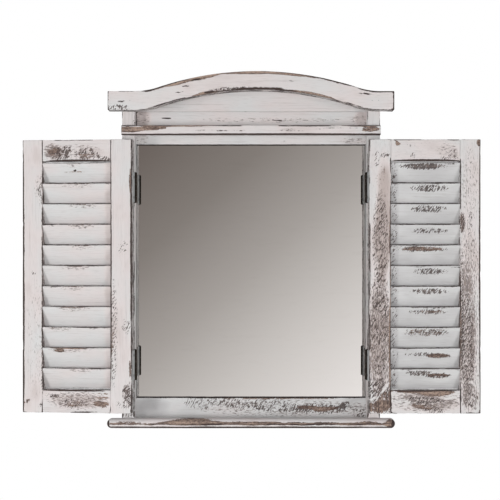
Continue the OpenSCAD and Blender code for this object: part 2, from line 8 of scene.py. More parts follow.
import bmesh
import bpy
import numpy as np
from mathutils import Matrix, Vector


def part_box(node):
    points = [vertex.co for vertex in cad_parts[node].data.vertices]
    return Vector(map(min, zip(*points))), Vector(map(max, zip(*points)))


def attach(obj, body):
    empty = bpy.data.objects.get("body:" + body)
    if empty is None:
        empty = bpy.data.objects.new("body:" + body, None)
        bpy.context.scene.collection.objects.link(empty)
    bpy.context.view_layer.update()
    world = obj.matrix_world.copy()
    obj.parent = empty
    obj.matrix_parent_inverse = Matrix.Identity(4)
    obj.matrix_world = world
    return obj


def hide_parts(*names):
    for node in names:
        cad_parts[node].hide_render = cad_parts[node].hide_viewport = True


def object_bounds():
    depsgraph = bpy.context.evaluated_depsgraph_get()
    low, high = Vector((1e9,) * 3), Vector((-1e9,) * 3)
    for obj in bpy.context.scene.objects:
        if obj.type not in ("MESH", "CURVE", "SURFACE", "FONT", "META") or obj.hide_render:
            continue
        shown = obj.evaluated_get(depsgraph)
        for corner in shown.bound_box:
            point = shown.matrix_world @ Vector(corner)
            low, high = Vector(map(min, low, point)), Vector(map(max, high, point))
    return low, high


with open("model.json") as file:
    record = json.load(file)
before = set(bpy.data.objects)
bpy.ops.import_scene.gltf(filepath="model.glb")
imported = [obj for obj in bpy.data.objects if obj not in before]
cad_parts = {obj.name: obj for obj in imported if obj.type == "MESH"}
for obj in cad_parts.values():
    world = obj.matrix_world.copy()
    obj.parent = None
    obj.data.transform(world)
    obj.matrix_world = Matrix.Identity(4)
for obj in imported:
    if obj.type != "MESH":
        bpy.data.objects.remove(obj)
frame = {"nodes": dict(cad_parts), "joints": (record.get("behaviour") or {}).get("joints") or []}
CAD_BOX = [list(corner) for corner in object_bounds()]

bl_info = {
    "name": "Shutter mirror",
    "version": (1, 0, 0),
    "blender": (4, 5, 0),
    "location": "3D View > Sidebar > Shutter mirror",
    "description": "Whitewashed boards, louvred shutters, hinges and mirror glass for a wall mirror",
    "category": "Object",
}

MM = 0.001
SIDES = ("left", "right")
LEVELS = ("lower", "upper")
NOISE_CELLS = 256
ARC_POINTS = 5
FROM_ARC = 0.6 * MM  # from a rounded corner to the next point on the edge beside it
CAP_RINGS = (0.6, 0.25, 0.0)  # what is left of the outline in the rings that close an end
# Noises in the wood's surface: millimetres along the piece and round its outline
PLANING, CHIPS, FRAYS = (120, 9), (8, 14), (26, 16)
CHIPPED = (0.62, 0.95)  # the noise at which a chip begins, and at which it is deepest
FRAY_DEPTH = 0.25 * MM
WORN_WIDTH = 1.2 * MM  # bare wood beside a worn arris, before the mark widens it

# Worn places on the visible faces, and painted shade and painted shadow, by node and kind: rows of (x, z,
# half
# length, half height, strength and, unless it lies level, lean), in millimetres and degrees in the frame.
# Kinds:
# bare wood, wood rubbed thin, scuffs in short strokes, a worn arris, a dark line along an edge, a dark dash
# on a face, pale paint that covers wear, and a warm tint, which is a greyer one where its strength is
# negative. Some dark lines, rubs, bare marks and greyer tints are painted shade under ledges and in crevices,
# and painted shadows of the posts and shutters; a comment stands by each of them.
MARKS = {
    "cornice_board": {
        "arris": (
            (-128, 37, 34, 8, 1.2, 14), (-84, 47, 48, 9, 1.9, 12), (-4, 58, 64, 7, 2.2),
            (60, 55, 48, 7, 1.7, -5), (110, 45, 30, 8, 0.8, -12), (-68, 22, 22, 6, 1.7, 12),
            (88, 22, 42, 6, 1.3, -11),
        ),
        # painted shade: the lines at x -122, z 8 and x 10, z 30 run along the arch's lower edge, as shade
        # under the cornice, with dirt
        "line": (
            (-124, 37, 44, 12, 0.7, 14), (20, 57, 90, 9, 0.3), (112, 44, 40, 9, 0.8, -14),
            (186, 29, 40, 5, 0.7), (211, 14, 5, 24, 1), (-211, 14, 5, 20, 0.6), (-122, 8, 36, 6, 0.45, 14),
            (10, 30, 84, 6, 0.45),
        ),
        "scuff": ((-30, 31, 36, 3, 1.1, 4), (-193, 3.5, 17, 5, 0.9)),
        # painted shade: the dash at x 5, z 32.5 darkens the crown's lower edge, as shade under the cornice,
        # with dirt
        "dash": (
            (5, 32.5, 84, 2.6, 0.4), (-153, 29, 10, 2.4, 1), (-97, 35.2, 8, 1.2, 0.9, 2),
            (-81, 45, 9, 1.8, 1, 10), (-106, 26, 10, 1.2, 0.6, 6), (-62, 26.5, 9, 2, 0.8, 8),
            (-191, 12.5, 12, 1.3, 0.6), (60, 43, 13, 2, 0.45, -3), (168, 24, 22, 2, 0.5, -4),
        ),
    },
    "cross_moulding": {
        "bare": ((-181, -27.3, 26, 5, 1), (-150, -25.5, 34, 3.8, 0.8, 2), (177, -26, 17, 5.5, 0.74)),
        "arris": ((-112, -20.5, 72, 3, 1.2), (163, -20.5, 36, 3, 1)),
        "dash": (
            (-50, -28.8, 74, 1.8, 0.46), (75, -28, 60, 2.8, 0.4), (120, -25, 18, 1.2, 0.5),
            (148, -25, 18, 1.4, 0.55),
        ),
        # painted shade: this dark line along the moulding's lower edge stands for the shade under it, with
        # some dirt
        "line": ((40, -35.5, 250, 3.5, 1),),
    },
    "pediment_board": {
        "dash": ((30, 20, 60, 6, 0.2),),
    },
    "frieze_board": {
        "dash": (
            (-128, -7, 9, 1.6, 1.1, -3), (90, -10, 88, 1.8, 0.44, 1), (38, -10, 9, 1.3, 0.5),
            (51, -42, 6, 1.2, 0.5),
        ),
        # painted shadow: the rubs at x -166 and 164 high up and at -165 and 155 low down grey the board where
        # the posts and shutters cast shadow
        "rub": (
            (-166, -8, 16, 16, 0.3), (164, -10, 16, 13, 0.25), (29, -10, 136, 4.5, 0.25),
            (-165, -40, 12, 9, 0.3), (155, -41, 22, 5.5, 0.5),
        ),
        # painted shadow: these warm tints brown the same shadows of the posts
        "warm": ((-166, -6, 18, 18, 0.3), (168, -8, 14, 16, 0.3)),
        # painted shade: dark line beside the left post, where its shadow falls
        "line": ((-173, -8, 3, 20, 0.8),),
    },
    "apron_board": {
        "line": ((0, -429.5, 320, 3, 0.2),),
        "arris": ((26, -430, 150, 2.5, 0.6),),
        "scuff": (
            (-79, -438, 26, 10, 0.58, -10), (-30, -437, 50, 8, 0.66, -9), (38, -442, 58, 11, 0.56, -8),
            (105, -445, 50, 8.5, 0.9), (138, -441, 13, 5, 1.2, 25), (164, -451, 12, 8, 0.5),
        ),
        "rub": ((41, -444, 136, 15, 0.5), (160, -447, 18, 14, 0.45)),
        "bare": ((92, -444, 30, 4, 0.62, -4), (116, -446, 26, 4.5, 0.66, 8)),
        # painted shadow: the greyer tint at x -149 stands for the left shutter's shadow on the apron
        "warm": ((-149, -444, 30, 22, -0.35), (60, -444, 150, 26, -0.1)),
    },
    "sill_board": {
        "bare": (
            (-182, -462.6, 42, 3, 0.72), (-110, -462.4, 50, 3.4, 0.8), (-86, -460, 46, 5.5, 0.78),
            (-30, -462.6, 56, 3.4, 0.85), (36, -462.6, 60, 3.4, 0.85), (105, -462.6, 60, 3.2, 0.85),
            (168, -462.4, 42, 3, 0.8), (207, -463, 12, 8, 0.7),
        ),
        "dash": ((20, -462.8, 240, 2.4, 0.5),),
        # painted shade: the line at z -468.6 darkens the nose's lower edge as shade under the sill, with some
        # dirt
        "line": ((0, -468.6, 330, 1.5, 1.1), (212, -464, 5, 10, 1), (-212, -464, 4, 10, 0.5)),
    },
    "left_post": {
        "scuff": ((-182, -451, 7.5, 5.2, 0.6), (-175, -16, 3, 3.7, 0.7)),
        "line": ((-183, -451, 11.9, 6.7, 0.8),),
    },
    "right_post": {
        "line": ((182, -451, 10.4, 6.7, 0.7),),
        # painted shade: this rub darkens the post's inner edge beside the glass, the shade of the crevice
        # there
        "rub": ((174, -232, 2.2, 197.5, 0.3),),
    },
    "left_top_rail": {
        "rub": ((-292, -61, 16, 14, 1.1), (-260, -62, 46, 13, 0.45)),
        "bare": ((-294, -59.5, 9.5, 9.5, 0.56, 20), (-241, -67, 18, 7.5, 0.42)),
        "scuff": (
            (-279, -63, 18, 11, 1.25, 25), (-243, -64, 19, 10, 0.95), (-218, -71, 13.2, 4.4, 1.1, -12),
        ),
        # painted shade: this line stands for the shade under the rail over the first slat, with dirt
        "line": ((-256, -75, 50, 4, 1.3),),
    },
    "left_bottom_rail": {
        "scuff": ((-291, -421, 15.5, 2.6, 1.25), (-262, -433, 19.1, 7.4, 0.75)),
        "bare": (
            (-261, -433, 16.9, 5.2, 0.42, 4), (-219, -421, 14, 7.4, 0.5), (-221, -433, 16.2, 6.6, 0.55, -6),
        ),
        "rub": ((-255, -428, 50, 14.7, 0.85),),
        # painted shade: the line at z -414 darkens the crevice where the last slat meets the rail, with dirt
        "line": ((-255, -414, 50, 2.2, 0.55), (-243, -443, 38.3, 2.9, 0.7)),
    },
    "left_free_stile": {
        # painted shade: the rub at x -307.5 darkens the crevice between the stile and the slats' ends
        "rub": (
            (-311, -118, 10.3, 26.5, 0.5, 8), (-307.5, -250, 3.2, 190, 1.2), (-319, -338, 17.7, 103, 0.12),
        ),
        "scuff": (
            (-308, -122, 7.4, 22.1, 0.45, 20), (-323, -241, 3.7, 4.4, 0.7), (-307, -370, 4, 60, 1.1),
            (-306, -405, 5.2, 11.8, 0.9), (-311, -436, 5.2, 4.4, 0.7),
        ),
        # painted shade: the line at x -305.8 darkens the same crevice by the slats' ends, with dirt
        "line": (
            (-339, -250, 5, 230, 1.2), (-338, -300, 7, 60, 0.7), (-338, -408, 8, 44, 0.8),
            (-305.8, -250, 2.4, 240, 1.2),
        ),
        "bare": ((-332, -430, 3.3, 10.3, 0.55, -62),),
    },
    "left_hinge_stile": {
        "bare": ((-177.5, -103, 2.4, 22, 0.6), (-203, -341, 4, 24.3, 0.42), (-178, -381, 3.3, 16.2, 0.65)),
        # painted shade: the lines at x -175 and -207 darken the stile's edge beside the glass and the crevice
        # at the slats' ends, with dirt
        "line": ((-175, -210, 4.4, 136.2, 0.8), (-207, -246, 3, 166, 0.9), (-189, -442, 18.4, 2.9, 0.7)),
        "scuff": (
            (-188, -202, 9.6, 11, 0.3), (-202, -327, 5.9, 88.3, 0.6), (-183, -318, 8.1, 13, 0.5),
            (-180, -420, 9, 18, 1.15, 15), (-189, -433, 12.5, 5.9, 0.45),
        ),
        "rub": ((-181, -419, 10.3, 22.1, 0.5),),
    },
    "right_top_rail": {
        "bare": ((213, -49, 10, 5, 0.6, -35),),
        "scuff": (
            (237, -52, 7.4, 2.2, 0.5), (237, -66, 5.9, 5.9, 0.6, -50), (285, -71, 6.6, 3.7, 0.7),
            (298, -66, 8.1, 8.5, 0.6, 15),
        ),
        "rub": ((290, -62, 20, 15, 0.4),),
        # painted shade: this line stands for the shade under the rail over the first slat, with dirt
        "line": ((257, -75, 50.8, 4, 1.2),),
        "pale": ((208, -57, 5, 17, 1.2), (308, -57, 5, 17, 1.2)),
    },
    "right_bottom_rail": {
        "bare": ((250, -414, 52, 3.4, 0.8, -1), (276, -417, 30, 5, 0.7, 4), (249, -436, 22, 5, 0.5, -12)),
        "scuff": ((257, -426, 31.6, 5.2, 0.8, -6), (258, -437, 31.6, 7.4, 0.8, -16)),
        "rub": ((258, -428, 58, 18, 1.1),),
        # painted shade: this line darkens the crevice where the last slat meets the rail, with dirt
        "line": ((257, -412, 50.8, 2.6, 0.8),),
        "pale": ((222, -432, 16, 9, 0.6), (292, -423, 12, 4, 0.9, 10)),
    },
    "right_hinge_stile": {
        "scuff": (
            (196, -67, 8.1, 3.7, 0.8), (185, -72, 3.7, 13.2, 0.6), (190, -191, 13.2, 73.6, 0.5),
            (189, -314, 15.5, 90.5, 0.55), (190, -420, 20, 30, 1.1, 20),
        ),
        "pale": ((207, -57, 4, 18, 1.2), (181, -424, 10, 1.9, 1, 16), (196, -410, 13, 1.9, 1, 52)),
        "bare": (
            (191, -99, 10.3, 25.8, 0.35), (180, -362, 7.4, 38.3, 0.34), (187, -437, 22, 11, 0.62),
            (197, -425, 13, 15, 0.55, 30),
        ),
        "rub": ((191, -188, 14, 77.3, 0.65), (189, -340, 20, 115, 1)),
        "warm": ((196, -160, 14, 110, 0.4),),
        "arris": ((206, -200, 4, 100, 0.9), (206, -350, 5, 90, 1.3)),
    },
    "right_free_stile": {
        "scuff": (
            (311, -166, 4.5, 17, 1.3), (322, -167, 4.4, 27.2, 0.5, -4), (310, -300, 3, 110, 0.7),
            (318, -345, 12, 88, 0.75), (322, -427, 14.7, 11.8, 0.6, 20),
        ),
        "rub": (
            (311, -166, 4.5, 17, 1.2), (321, -224, 16.2, 55.2, 0.55), (317, -330, 16, 112, 0.95),
            (330, -347, 8.1, 97.2, 0.35), (322, -110, 15.5, 66.2, 0.25), (323, -424, 16, 22, 0.7),
        ),
        "pale": ((309, -57, 4, 18, 1.2),),
        "line": ((339, -245, 5, 240, 1.1), (323, -443, 15.5, 4.4, 0.7)),
        # painted shade: the bare mark at x 307 darkens the crevice along the slats' right ends
        "bare": ((335, -48, 3.2, 6.3, 1), (307, -302, 2.9, 117.8, 0.6)),
    },
}
# Wear along the top edge of each left slat: (x, half length, strength)
LEFT_SLAT_WEAR = (
    (-262, 12, 0.2), (-257, 30, 0.95), (-249, 24, 0.85), (-250, 24, 0.9), (-250, 22, 0.9), (-260, 25, 1),
    (-264, 19, 0.95), (-262, 27, 1.2), (-284, 20, 0.7), (-268, 34, 1.3), (-250, 20, 0.4),
)
# Spots on the left slats: (slat, kind, x, drop below its top, half length, half height, strength, lean)
LEFT_SLAT_SPOTS = (
    (1, "bare", -262, 14, 22, 1.6, 0.5), (1, "dash", -261, 12, 3, 2.2, 0.9, 40),
    (10, "bare", -283, 5, 10, 3.6, 0.85), (10, "arris", -272, 0, 34, 2.8, 0.5),
)
# Sanded places on the right slats: (slat, x, drop below its top, half length, half height, scuffed, bare)
RIGHT_SLAT_SMEARS = (
    (1, 253, 6, 38, 5, 1.7, 0), (2, 263, 8, 31, 6, 1.1, 0), (3, 262, 8, 31, 6, 1, 0),
    (4, 261, 10, 31, 4.5, 1, 0.25), (5, 252, 6.5, 42, 4.5, 0.8, 0.6), (6, 264, 9, 27, 5, 1.1, 0),
    (7, 262, 8, 30, 5, 1.1, 0.2), (8, 261, 8, 31, 4.5, 0.9, 0.42), (9, 257, 7.5, 36, 7, 0.9, 0.45),
    (10, 276, 12, 21, 4.2, 1.2, 0.75), (10, 254, 10, 30, 3, 0.9, 0), (11, 276, 11, 21, 4.6, 1.2, 0.8),
    (11, 248, 7, 22, 4.5, 1.3, 0),
)


def linear(code):
    """sRGB hex colour in linear light: ((c + 0.055) / 1.055) ** 2.4, or c / 12.92 near black."""
    c = np.array([int(code[i : i + 2], 16) for i in (1, 3, 5)]) / 255
    return tuple(float(x) for x in np.where(c <= 0.04045, c / 12.92, ((c + 0.055) / 1.055) ** 2.4))


def shade(name, code, text):
    """A colour the user may change."""
    return bpy.props.FloatVectorProperty(
        name=name, description=text, default=linear(code), size=3, subtype="COLOR", min=0, max=1
    )


def length(name, default_mm, text):
    """A length the user may change, kept in metres."""
    return bpy.props.FloatProperty(name=name, description=text, default=default_mm * MM, unit="LENGTH")


def angle(name, degrees, text):
    """An angle the user may change, kept in radians."""
    return bpy.props.FloatProperty(name=name, description=text, default=np.radians(degrees), subtype="ANGLE")


def share(name, default, text):
    """A plain number the user may change."""
    return bpy.props.FloatProperty(name=name, description=text, default=default)


# ---- Sizes, colours and light ----


class CaseSizes(bpy.types.PropertyGroup):
    """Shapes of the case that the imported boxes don't tell."""

    arch_rise: length("Arch rise", 30, "Rise of the cornice's arch over its straight ends")
    arch_half: length("Arch half width", 183, "Half the width of the arch, foot to middle")
    arch_shift: length("Arch shift", 9, "How far the arch was sawn to the right of the middle")
    crown_share: share("Crown share", 0.8, "Share of the arch's half width that bends down")
    # painted shade: the cornice's underside, and this height above its lower edge, are drawn dark as shade
    # under the cornice
    cornice_underside: length("Cornice underside", 0.1, "Unpainted height over the cornice's lower edge")
    rebate: length("Rebate", 6, "Width of the rebate that holds the glass")
    rebate_top: length("Rebate top", -21.5, "Height of the rebate's end in the posts")
    arris: length("Arris", 0.9, "Radius of the softened edges of the boards")
    moulding_arris: length("Moulding arris", 1.6, "Radius of the cross moulding's front edges")


class ShutterSizes(bpy.types.PropertyGroup):
    """How the shutters hang and how their slats lean."""

    left_open: angle("Left open", 185, "Swing of the left shutter")
    right_open: angle("Right open", 181, "Swing of the right shutter")
    slat_lean: angle("Slat lean", 24, "Lean of a slat from upright")
    slat_thickness: length("Slat thickness", 5, "Thickness of a slat")
    # painted shade: the crevice over each slat's tip is drawn dark from where the next slat hides it from a
    # point in front; these give the dark height over the next slat, the gap to the face above, and that
    # point's height and distance
    slat_crevice: length("Slat crevice", 0.3, "Unpainted height over the next slat, seen from the spray")
    slat_gap: length("Slat gap", 13.5, "Depth from a slat's tip to the face of the slat over it")
    crevice_shade_height: length("Spray height", -206, "Height above the hangers that the paint was sprayed from")
    crevice_shade_away: length("Spray distance", 1500, "Distance that the paint was sprayed from")
    slat_count: bpy.props.IntProperty(name="Slats", description="Slats in a shutter", default=11, min=1)


class WearSizes(bpy.types.PropertyGroup):
    """How far hands and sandpaper have worn the wood."""

    step_along: length("Step along", 2.2, "Distance between two stations along a board")
    step_across: length("Step across", 1.5, "Distance between two points round an outline")
    hollow: length("Hollow", 0.2, "Depth of the planing marks left along the boards")
    chip: length("Chip", 1.2, "Depth of the chips along the edges")
    sanded: length("Sanded", 0.4, "Depth sanded off a worn edge")
    line: length("Line", 1.0, "Width of the dirt that stays along an edge")
    reach: length("Reach", 1.6, "How far wear spreads from an edge")


class Finishes(bpy.types.PropertyGroup):
    """Colours of the paint, wood, metal and glass."""

    paint_stained: shade("Stained white", "#bcafab", "Whitewash with stain bled through")
    paint_warm: shade("Warm white", "#dad2d1", "Whitewash with a hint of pink")
    paint_cool: shade("Cool white", "#d6d6d6", "Whitewash with a hint of blue")
    paint_grey: shade("Grey white", "#bfbebf", "Whitewash dulled by sanding")
    wash_grey: shade("Thin wash", "#928884", "Wood seen through thin whitewash")
    wood_light: shade("Light wood", "#a89284", "Bare pine on the fresh edges")
    wood_mid: shade("Brown wood", "#6f5e57", "Bare stained pine")
    # wood_dark is also the colour of the painted shade on side faces, undersides and crevices
    wood_dark: shade("Dark wood", "#3d312e", "Stain left in the grain")
    bronze: shade("Bronze", "#2a231d", "Dark patina of the hinges")
    bronze_rubbed: shade("Rubbed bronze", "#7b7166", "Bronze where it is rubbed bright")
    zinc: shade("Zinc", "#b4b7b8", "Zinc plate of the hangers and screws")
    silver: shade("Silver", "#e2e1df", "Silvering behind the glass")
    # this near-black also draws the painted shade line round the glass, inside the frame's edge
    tarnish_and_shade: shade("Tarnish", "#2b2625", "Silvering gone black at the edge of the glass")
    hardboard: shade("Hardboard", "#7c5b40", "Brown hardboard of the back")


class StageSizes(bpy.types.PropertyGroup):
    """Camera, lamps and floor."""

    camera_away: length("Camera distance", 1471, "Camera to the front of the cornice")
    camera_side: length("Camera side", -1.5, "Camera right of the middle")
    camera_height: length("Camera height", -206, "Camera above the hangers")
    lens: share("Lens", 72, "Focal length in millimetres")
    floor_drop: length("Floor", 900, "Floor below the sill, as under a hung mirror")
    lamp_away: length("Lamp distance", 2200, "Lamps to the middle of the mirror")
    ambient: share("Ambient", 0.34, "Soft light from all round")
    key_power: share("Key", 16.5, "Left lamp in watts")
    fill_power: share("Fill", 11.0, "Right lamp in watts")
    front_power: share("Front", 9, "Lamp before the front in watts")
    rim_power: share("Rim", 9, "Lamp behind, for the views of the back")


def sizes(group):
    """The settings of one group in this scene."""
    return getattr(bpy.context.scene, group)


# ---- Surfaces ----


def noise(x, y, seed):
    """Noise from 0 to 1: random values on a whole-number lattice, blended by 3t^2 - 2t^3 between them."""
    values = np.random.default_rng(seed).random((NOISE_CELLS, NOISE_CELLS))
    i, j = np.floor(x).astype(int), np.floor(y).astype(int)
    s, t = smooth(x - i, 0, 1), smooth(y - j, 0, 1)
    near, far = i % NOISE_CELLS, (i + 1) % NOISE_CELLS
    low, high = j % NOISE_CELLS, (j + 1) % NOISE_CELLS
    below = values[near, low] * (1 - s) + values[far, low] * s
    above = values[near, high] * (1 - s) + values[far, high] * s
    return below * (1 - t) + above * t


def smooth(value, low, high):
    """0 below low, 1 above high, and 3t^2 - 2t^3 between them."""
    t = np.clip((value - low) / (high - low), 0, 1)
    return t * t * (3 - 2 * t)


def seed_of(name):
    """A whole number that belongs to a name."""
    return zlib.crc32(name.encode()) % 100003


def stations(start, end, rounding):
    """Places along a piece, how far the outline draws in there, and how much is left of it.

    Each end is a quarter circle, rounding * (1 - cos), and then rings that shrink to a point close it."""
    turn = np.radians([0, 30, 60, 90])
    count = max(3, int(round((end - start) / sizes("wear_sizes").step_along)))
    body = np.linspace(start + rounding, end - rounding, count)
    head = start + rounding * (1 - np.sin(turn[:0:-1]))
    tail = end - rounding * (1 - np.sin(turn[1:]))
    draw = rounding * (1 - np.cos(turn[1:]))
    cap = np.array(CAP_RINGS)
    place = np.concatenate([np.full(len(cap), start), head, body, tail, np.full(len(cap), end)])
    closed = np.full(len(cap), rounding)
    inset = np.concatenate([closed, draw[::-1], np.zeros(count), draw, closed])
    left = np.concatenate([cap[::-1], np.ones(count + 2 * len(draw)), cap])
    return place, inset, left


def carry(corners, radii, inset, left):
    """Carries a closed outline with square, rounded corners along its stations.

    corners is (stations, corners, 2), anticlockwise, and radii is (stations, corners). A point on an edge
    blends the centres of the two corner arcs, and a point on an arc is centre + radius * outward. Returns the
    points, the outward directions, the distance to the nearest arc and the running length round the ring."""
    count = corners.shape[1]
    ahead = np.roll(np.arange(count), -1)
    middle, round_ = corners[len(corners) // 2], radii[len(radii) // 2]
    along = middle[ahead] - middle
    long = np.hypot(*along.T)
    normal = np.stack([along[:, 1], -along[:, 0]], 1) / long[:, None]
    before = np.roll(normal, 1, 0)
    convex = before[:, 0] * normal[:, 1] - before[:, 1] * normal[:, 0] > 0
    first, second, blend, outward = [], [], [], []
    for k in range(count):
        turns = np.linspace(0, np.pi / 2, ARC_POINTS) if convex[k] else np.array([0.0])
        straight = max(long[k] - round_[k] - round_[ahead[k]], 1e-6)
        near = min(0.25, FROM_ARC / straight)
        inner = max(2, int(round(straight / sizes("wear_sizes").step_across)))
        parts = np.concatenate([[near], np.linspace(0, 1, inner + 1)[1:-1], [1 - near]])
        first += [k] * (len(turns) + len(parts))
        second += [k] * len(turns) + [ahead[k]] * len(parts)
        blend += [0.0] * len(turns) + list(parts)
        outward += [before[k] * np.cos(a) + normal[k] * np.sin(a) for a in turns] + [normal[k]] * len(parts)
    first, second, blend, outward = (np.array(x) for x in (first, second, blend, outward))
    radii = np.where(convex, radii, 0.0)
    diagonal = np.where(convex[:, None], before + normal, 0)
    centres = corners - (radii + inset[:, None])[..., None] * diagonal
    reach = radii[:, first] * (1 - blend) + radii[:, second] * blend
    points = centres[:, first] * (1 - blend)[:, None] + centres[:, second] * blend[:, None]
    points = points + reach[..., None] * outward
    focus = (corners.min(1) + corners.max(1)) / 2
    points = focus[:, None] + (points - focus[:, None]) * left[:, None, None]
    arris = np.where(first == second, 0.0, np.minimum(blend, 1 - blend) * long[first])
    ring = points[len(points) // 2]
    run = np.concatenate([[0], np.cumsum(np.hypot(*np.diff(ring, axis=0).T))])
    return points, outward, arris, run


def skin(name, points, layers, material):
    """Closed mesh from rings of points, (rings, round, 3), with one value of each layer at every point.

    Doubles are merged, which closes the ends, and a volume below zero turns every face round."""
    rings, round_ = points.shape[:2]
    index = np.arange(rings * round_).reshape(rings, round_)
    here, there = index[:-1], index[1:]
    quads = np.stack([here, np.roll(here, -1, 1), np.roll(there, -1, 1), there], -1).reshape(-1, 4)
    flat = points.reshape(-1, 3)
    a, b, c, d = (flat[quads[:, i]] for i in range(4))
    volume = np.einsum("ij,ij->", a, np.cross(b, c)) + np.einsum("ij,ij->", a, np.cross(c, d))
    if volume < 0:
        quads = quads[:, ::-1]
    mesh = bpy.data.meshes.new(name)
    mesh.from_pydata(flat.tolist(), [], quads.tolist())
    for layer, values in layers.items():
        kind, key = ("FLOAT_VECTOR", "vector") if values.ndim == 3 else ("FLOAT", "value")
        made = mesh.attributes.new(layer, kind, "POINT")
        made.data.foreach_set(key, np.ascontiguousarray(values, np.float32).ravel())
    shell = bmesh.new()
    shell.from_mesh(mesh)
    bmesh.ops.remove_doubles(shell, verts=shell.verts, dist=1e-6)
    shell.to_mesh(mesh)
    shell.free()
    mesh.shade_smooth()
    piece = bpy.data.objects.new(name, mesh)
    bpy.context.scene.collection.objects.link(piece)
    mesh.materials.append(material)
    return piece


# ---- Wood ----


def in_frame(order):
    """Puts (along, across, through) on the frame's axes, such as "xzy" for a board that lies along x."""
    where = ["xyz".index(axis) for axis in order]

    def place(local):
        placed = np.empty_like(local)
        placed[..., where] = local
        return placed

    return place


def marked(kind, seen, marks):
    """Sum of the soft marks of one kind: strength * 1.6 * (1 - (u^2 + v^2)), at most the strength, where u
    and v run along and across a mark and are 1 at its rim."""
    x, z = seen[..., 0] / MM, seen[..., 2] / MM
    amount = np.zeros(x.shape)
    for px, pz, wide, high, strength, *lean in marks.get(kind, ()):
        turn = np.radians(lean[0] if lean else 0)
        u = ((x - px) * np.cos(turn) + (z - pz) * np.sin(turn)) / wide
        v = ((z - pz) * np.cos(turn) - (x - px) * np.sin(turn)) / high
        amount = amount + strength * np.clip(1.6 * (1 - (u * u + v * v)), 0, 1)
    return amount


def wooden(
    node, corners, radii, span, place, edge, body="case", tone=0.36, rub=0.0, marks=None, slot="painted_wood",
    sides=0.25, painted_shade_beyond=None,
):
    """Board or slat: its outline carried along, hollowed by planing and worn along its edges.

    Edge is how worn the edges are, sides how dark the faces that look sideways are drawn, which is partly
    stain and partly painted shade, and the function passed last gives how far a point lies into painted shade
    on an underside or in a crevice, drawn as dark wood. Depth taken off along the outward direction = hollow
    * noise of 120 by 9 mm + chip * (noise of 8 by 14 mm over 0.62) near an edge + sanded * the arris marks
      near an
    edge, and near an edge means times exp(-(distance / reach)^2)."""
    wear = sizes("wear_sizes")
    seed = seed_of(node)
    marks = marks or MARKS.get(node, {})
    run_along, inset, left = span
    radii = np.broadcast_to(radii, corners.shape[:2])
    points, outward, arris, run = carry(corners, radii, inset, left)
    along = np.broadcast_to(run_along[:, None], points.shape[:2])
    around = np.broadcast_to(run[None], points.shape[:2])
    seen = place(np.concatenate([along[..., None], points], -1))

    def mottled(size, layer):
        return noise(along / (size[0] * MM), around / (size[1] * MM), seed + layer)

    viewer = -1 if body == "case" else 1
    middle = (points[..., 1].min() + points[..., 1].max()) / 2
    half = (points[..., 1].max() - points[..., 1].min()) / 2
    front = smooth(viewer * (points[..., 1] - middle) / half, -0.6, 0.6)
    arris_mark = marked("arris", seen, marks) * front
    near_edge = np.exp(-((arris / wear.reach) ** 2))[None]
    chips = smooth(mottled(CHIPS, 1), *CHIPPED)
    rough = mottled(FRAYS, 2)
    taken = near_edge * edge * (wear.chip * chips + FRAY_DEPTH * rough)
    taken = taken + wear.hollow * mottled(PLANING, 0)
    taken = taken + near_edge * wear.sanded * np.minimum(arris_mark, 1.5) * (0.4 + rough)
    keep = np.minimum(1, radii[:, :1] / radii.max()) * (left[:, None] == 1)
    points = points - (taken * keep)[..., None] * outward[None]
    local = np.concatenate([along[..., None], points], -1)
    seen = place(local)
    kinds = ("bare", "rub", "scuff", "line", "dash", "pale", "warm")
    mark = {kind: marked(kind, seen, marks) for kind in kinds}
    from_end = np.minimum(run_along - run_along.min(), run_along.max() - run_along) + (1 - left) * half
    rim = np.minimum(arris[None], from_end[:, None])
    spread = WORN_WIDTH * (1 + 1.4 * arris_mark)
    bare = 0.5 * chips * near_edge * edge + arris_mark * np.exp(-((arris[None] / spread) ** 2))
    # the dark line along every edge and end is dirt, and partly painted shade at the joints
    line = (0.15 + 0.95 * edge) * (0.45 + 0.9 * smooth(rough, 0.25, 0.75)) * np.exp(-rim / wear.line)
    line = line + mark["line"] * np.exp(-((rim / (1.8 * wear.line)) ** 2)) + mark["dash"] * front
    # painted shade: faces that look sideways are darkened by sides, partly as stain
    turned = smooth(1 - np.abs(outward[None, :, 1]), 0.25, 0.9)
    grimed = np.maximum(line, sides * turned)
    # painted shade: dark wood beyond the line that the last argument gives, on the cornice's underside and in
    # the slats' crevices
    if painted_shade_beyond is not None:
        grimed = np.maximum(grimed, np.clip(0.5 + painted_shade_beyond(seen) / (2 * MM), 0, 1.1))
    kept = 1 - np.clip(mark["pale"], 0, 1)
    layers = {
        "grain": local + np.array([seed % 89, seed % 71, seed % 53]) * 0.137,
        "bare": (bare + mark["bare"] * front) * kept,
        "rubbed": (rub + mark["rub"] * front) * kept,
        "scuffed": mark["scuff"] * front * kept,
        "grimed": grimed * kept,
        "tone": tone - mark["warm"] + np.zeros(along.shape),
    }
    paint = finish("whitewashed_pine_slats" if slot == "painted_slat" else "whitewashed_pine_boards")
    piece = skin(f"{node}_wood", seen, layers, paint)
    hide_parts(node)
    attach(piece, body)


def outline(ring, along):
    """Corners of an outline at every station, from pairs of numbers or of one value for each station."""
    return np.stack([np.stack(np.broadcast_arrays(a, t, along)[:2], -1) for a, t in ring], 1)


def rectangle(low_a, high_a, low_t, high_t, along):
    """Corners of a rectangle across and through, at every station."""
    return outline(((low_a, low_t), (high_a, low_t), (high_a, high_t), (low_a, high_t)), along)


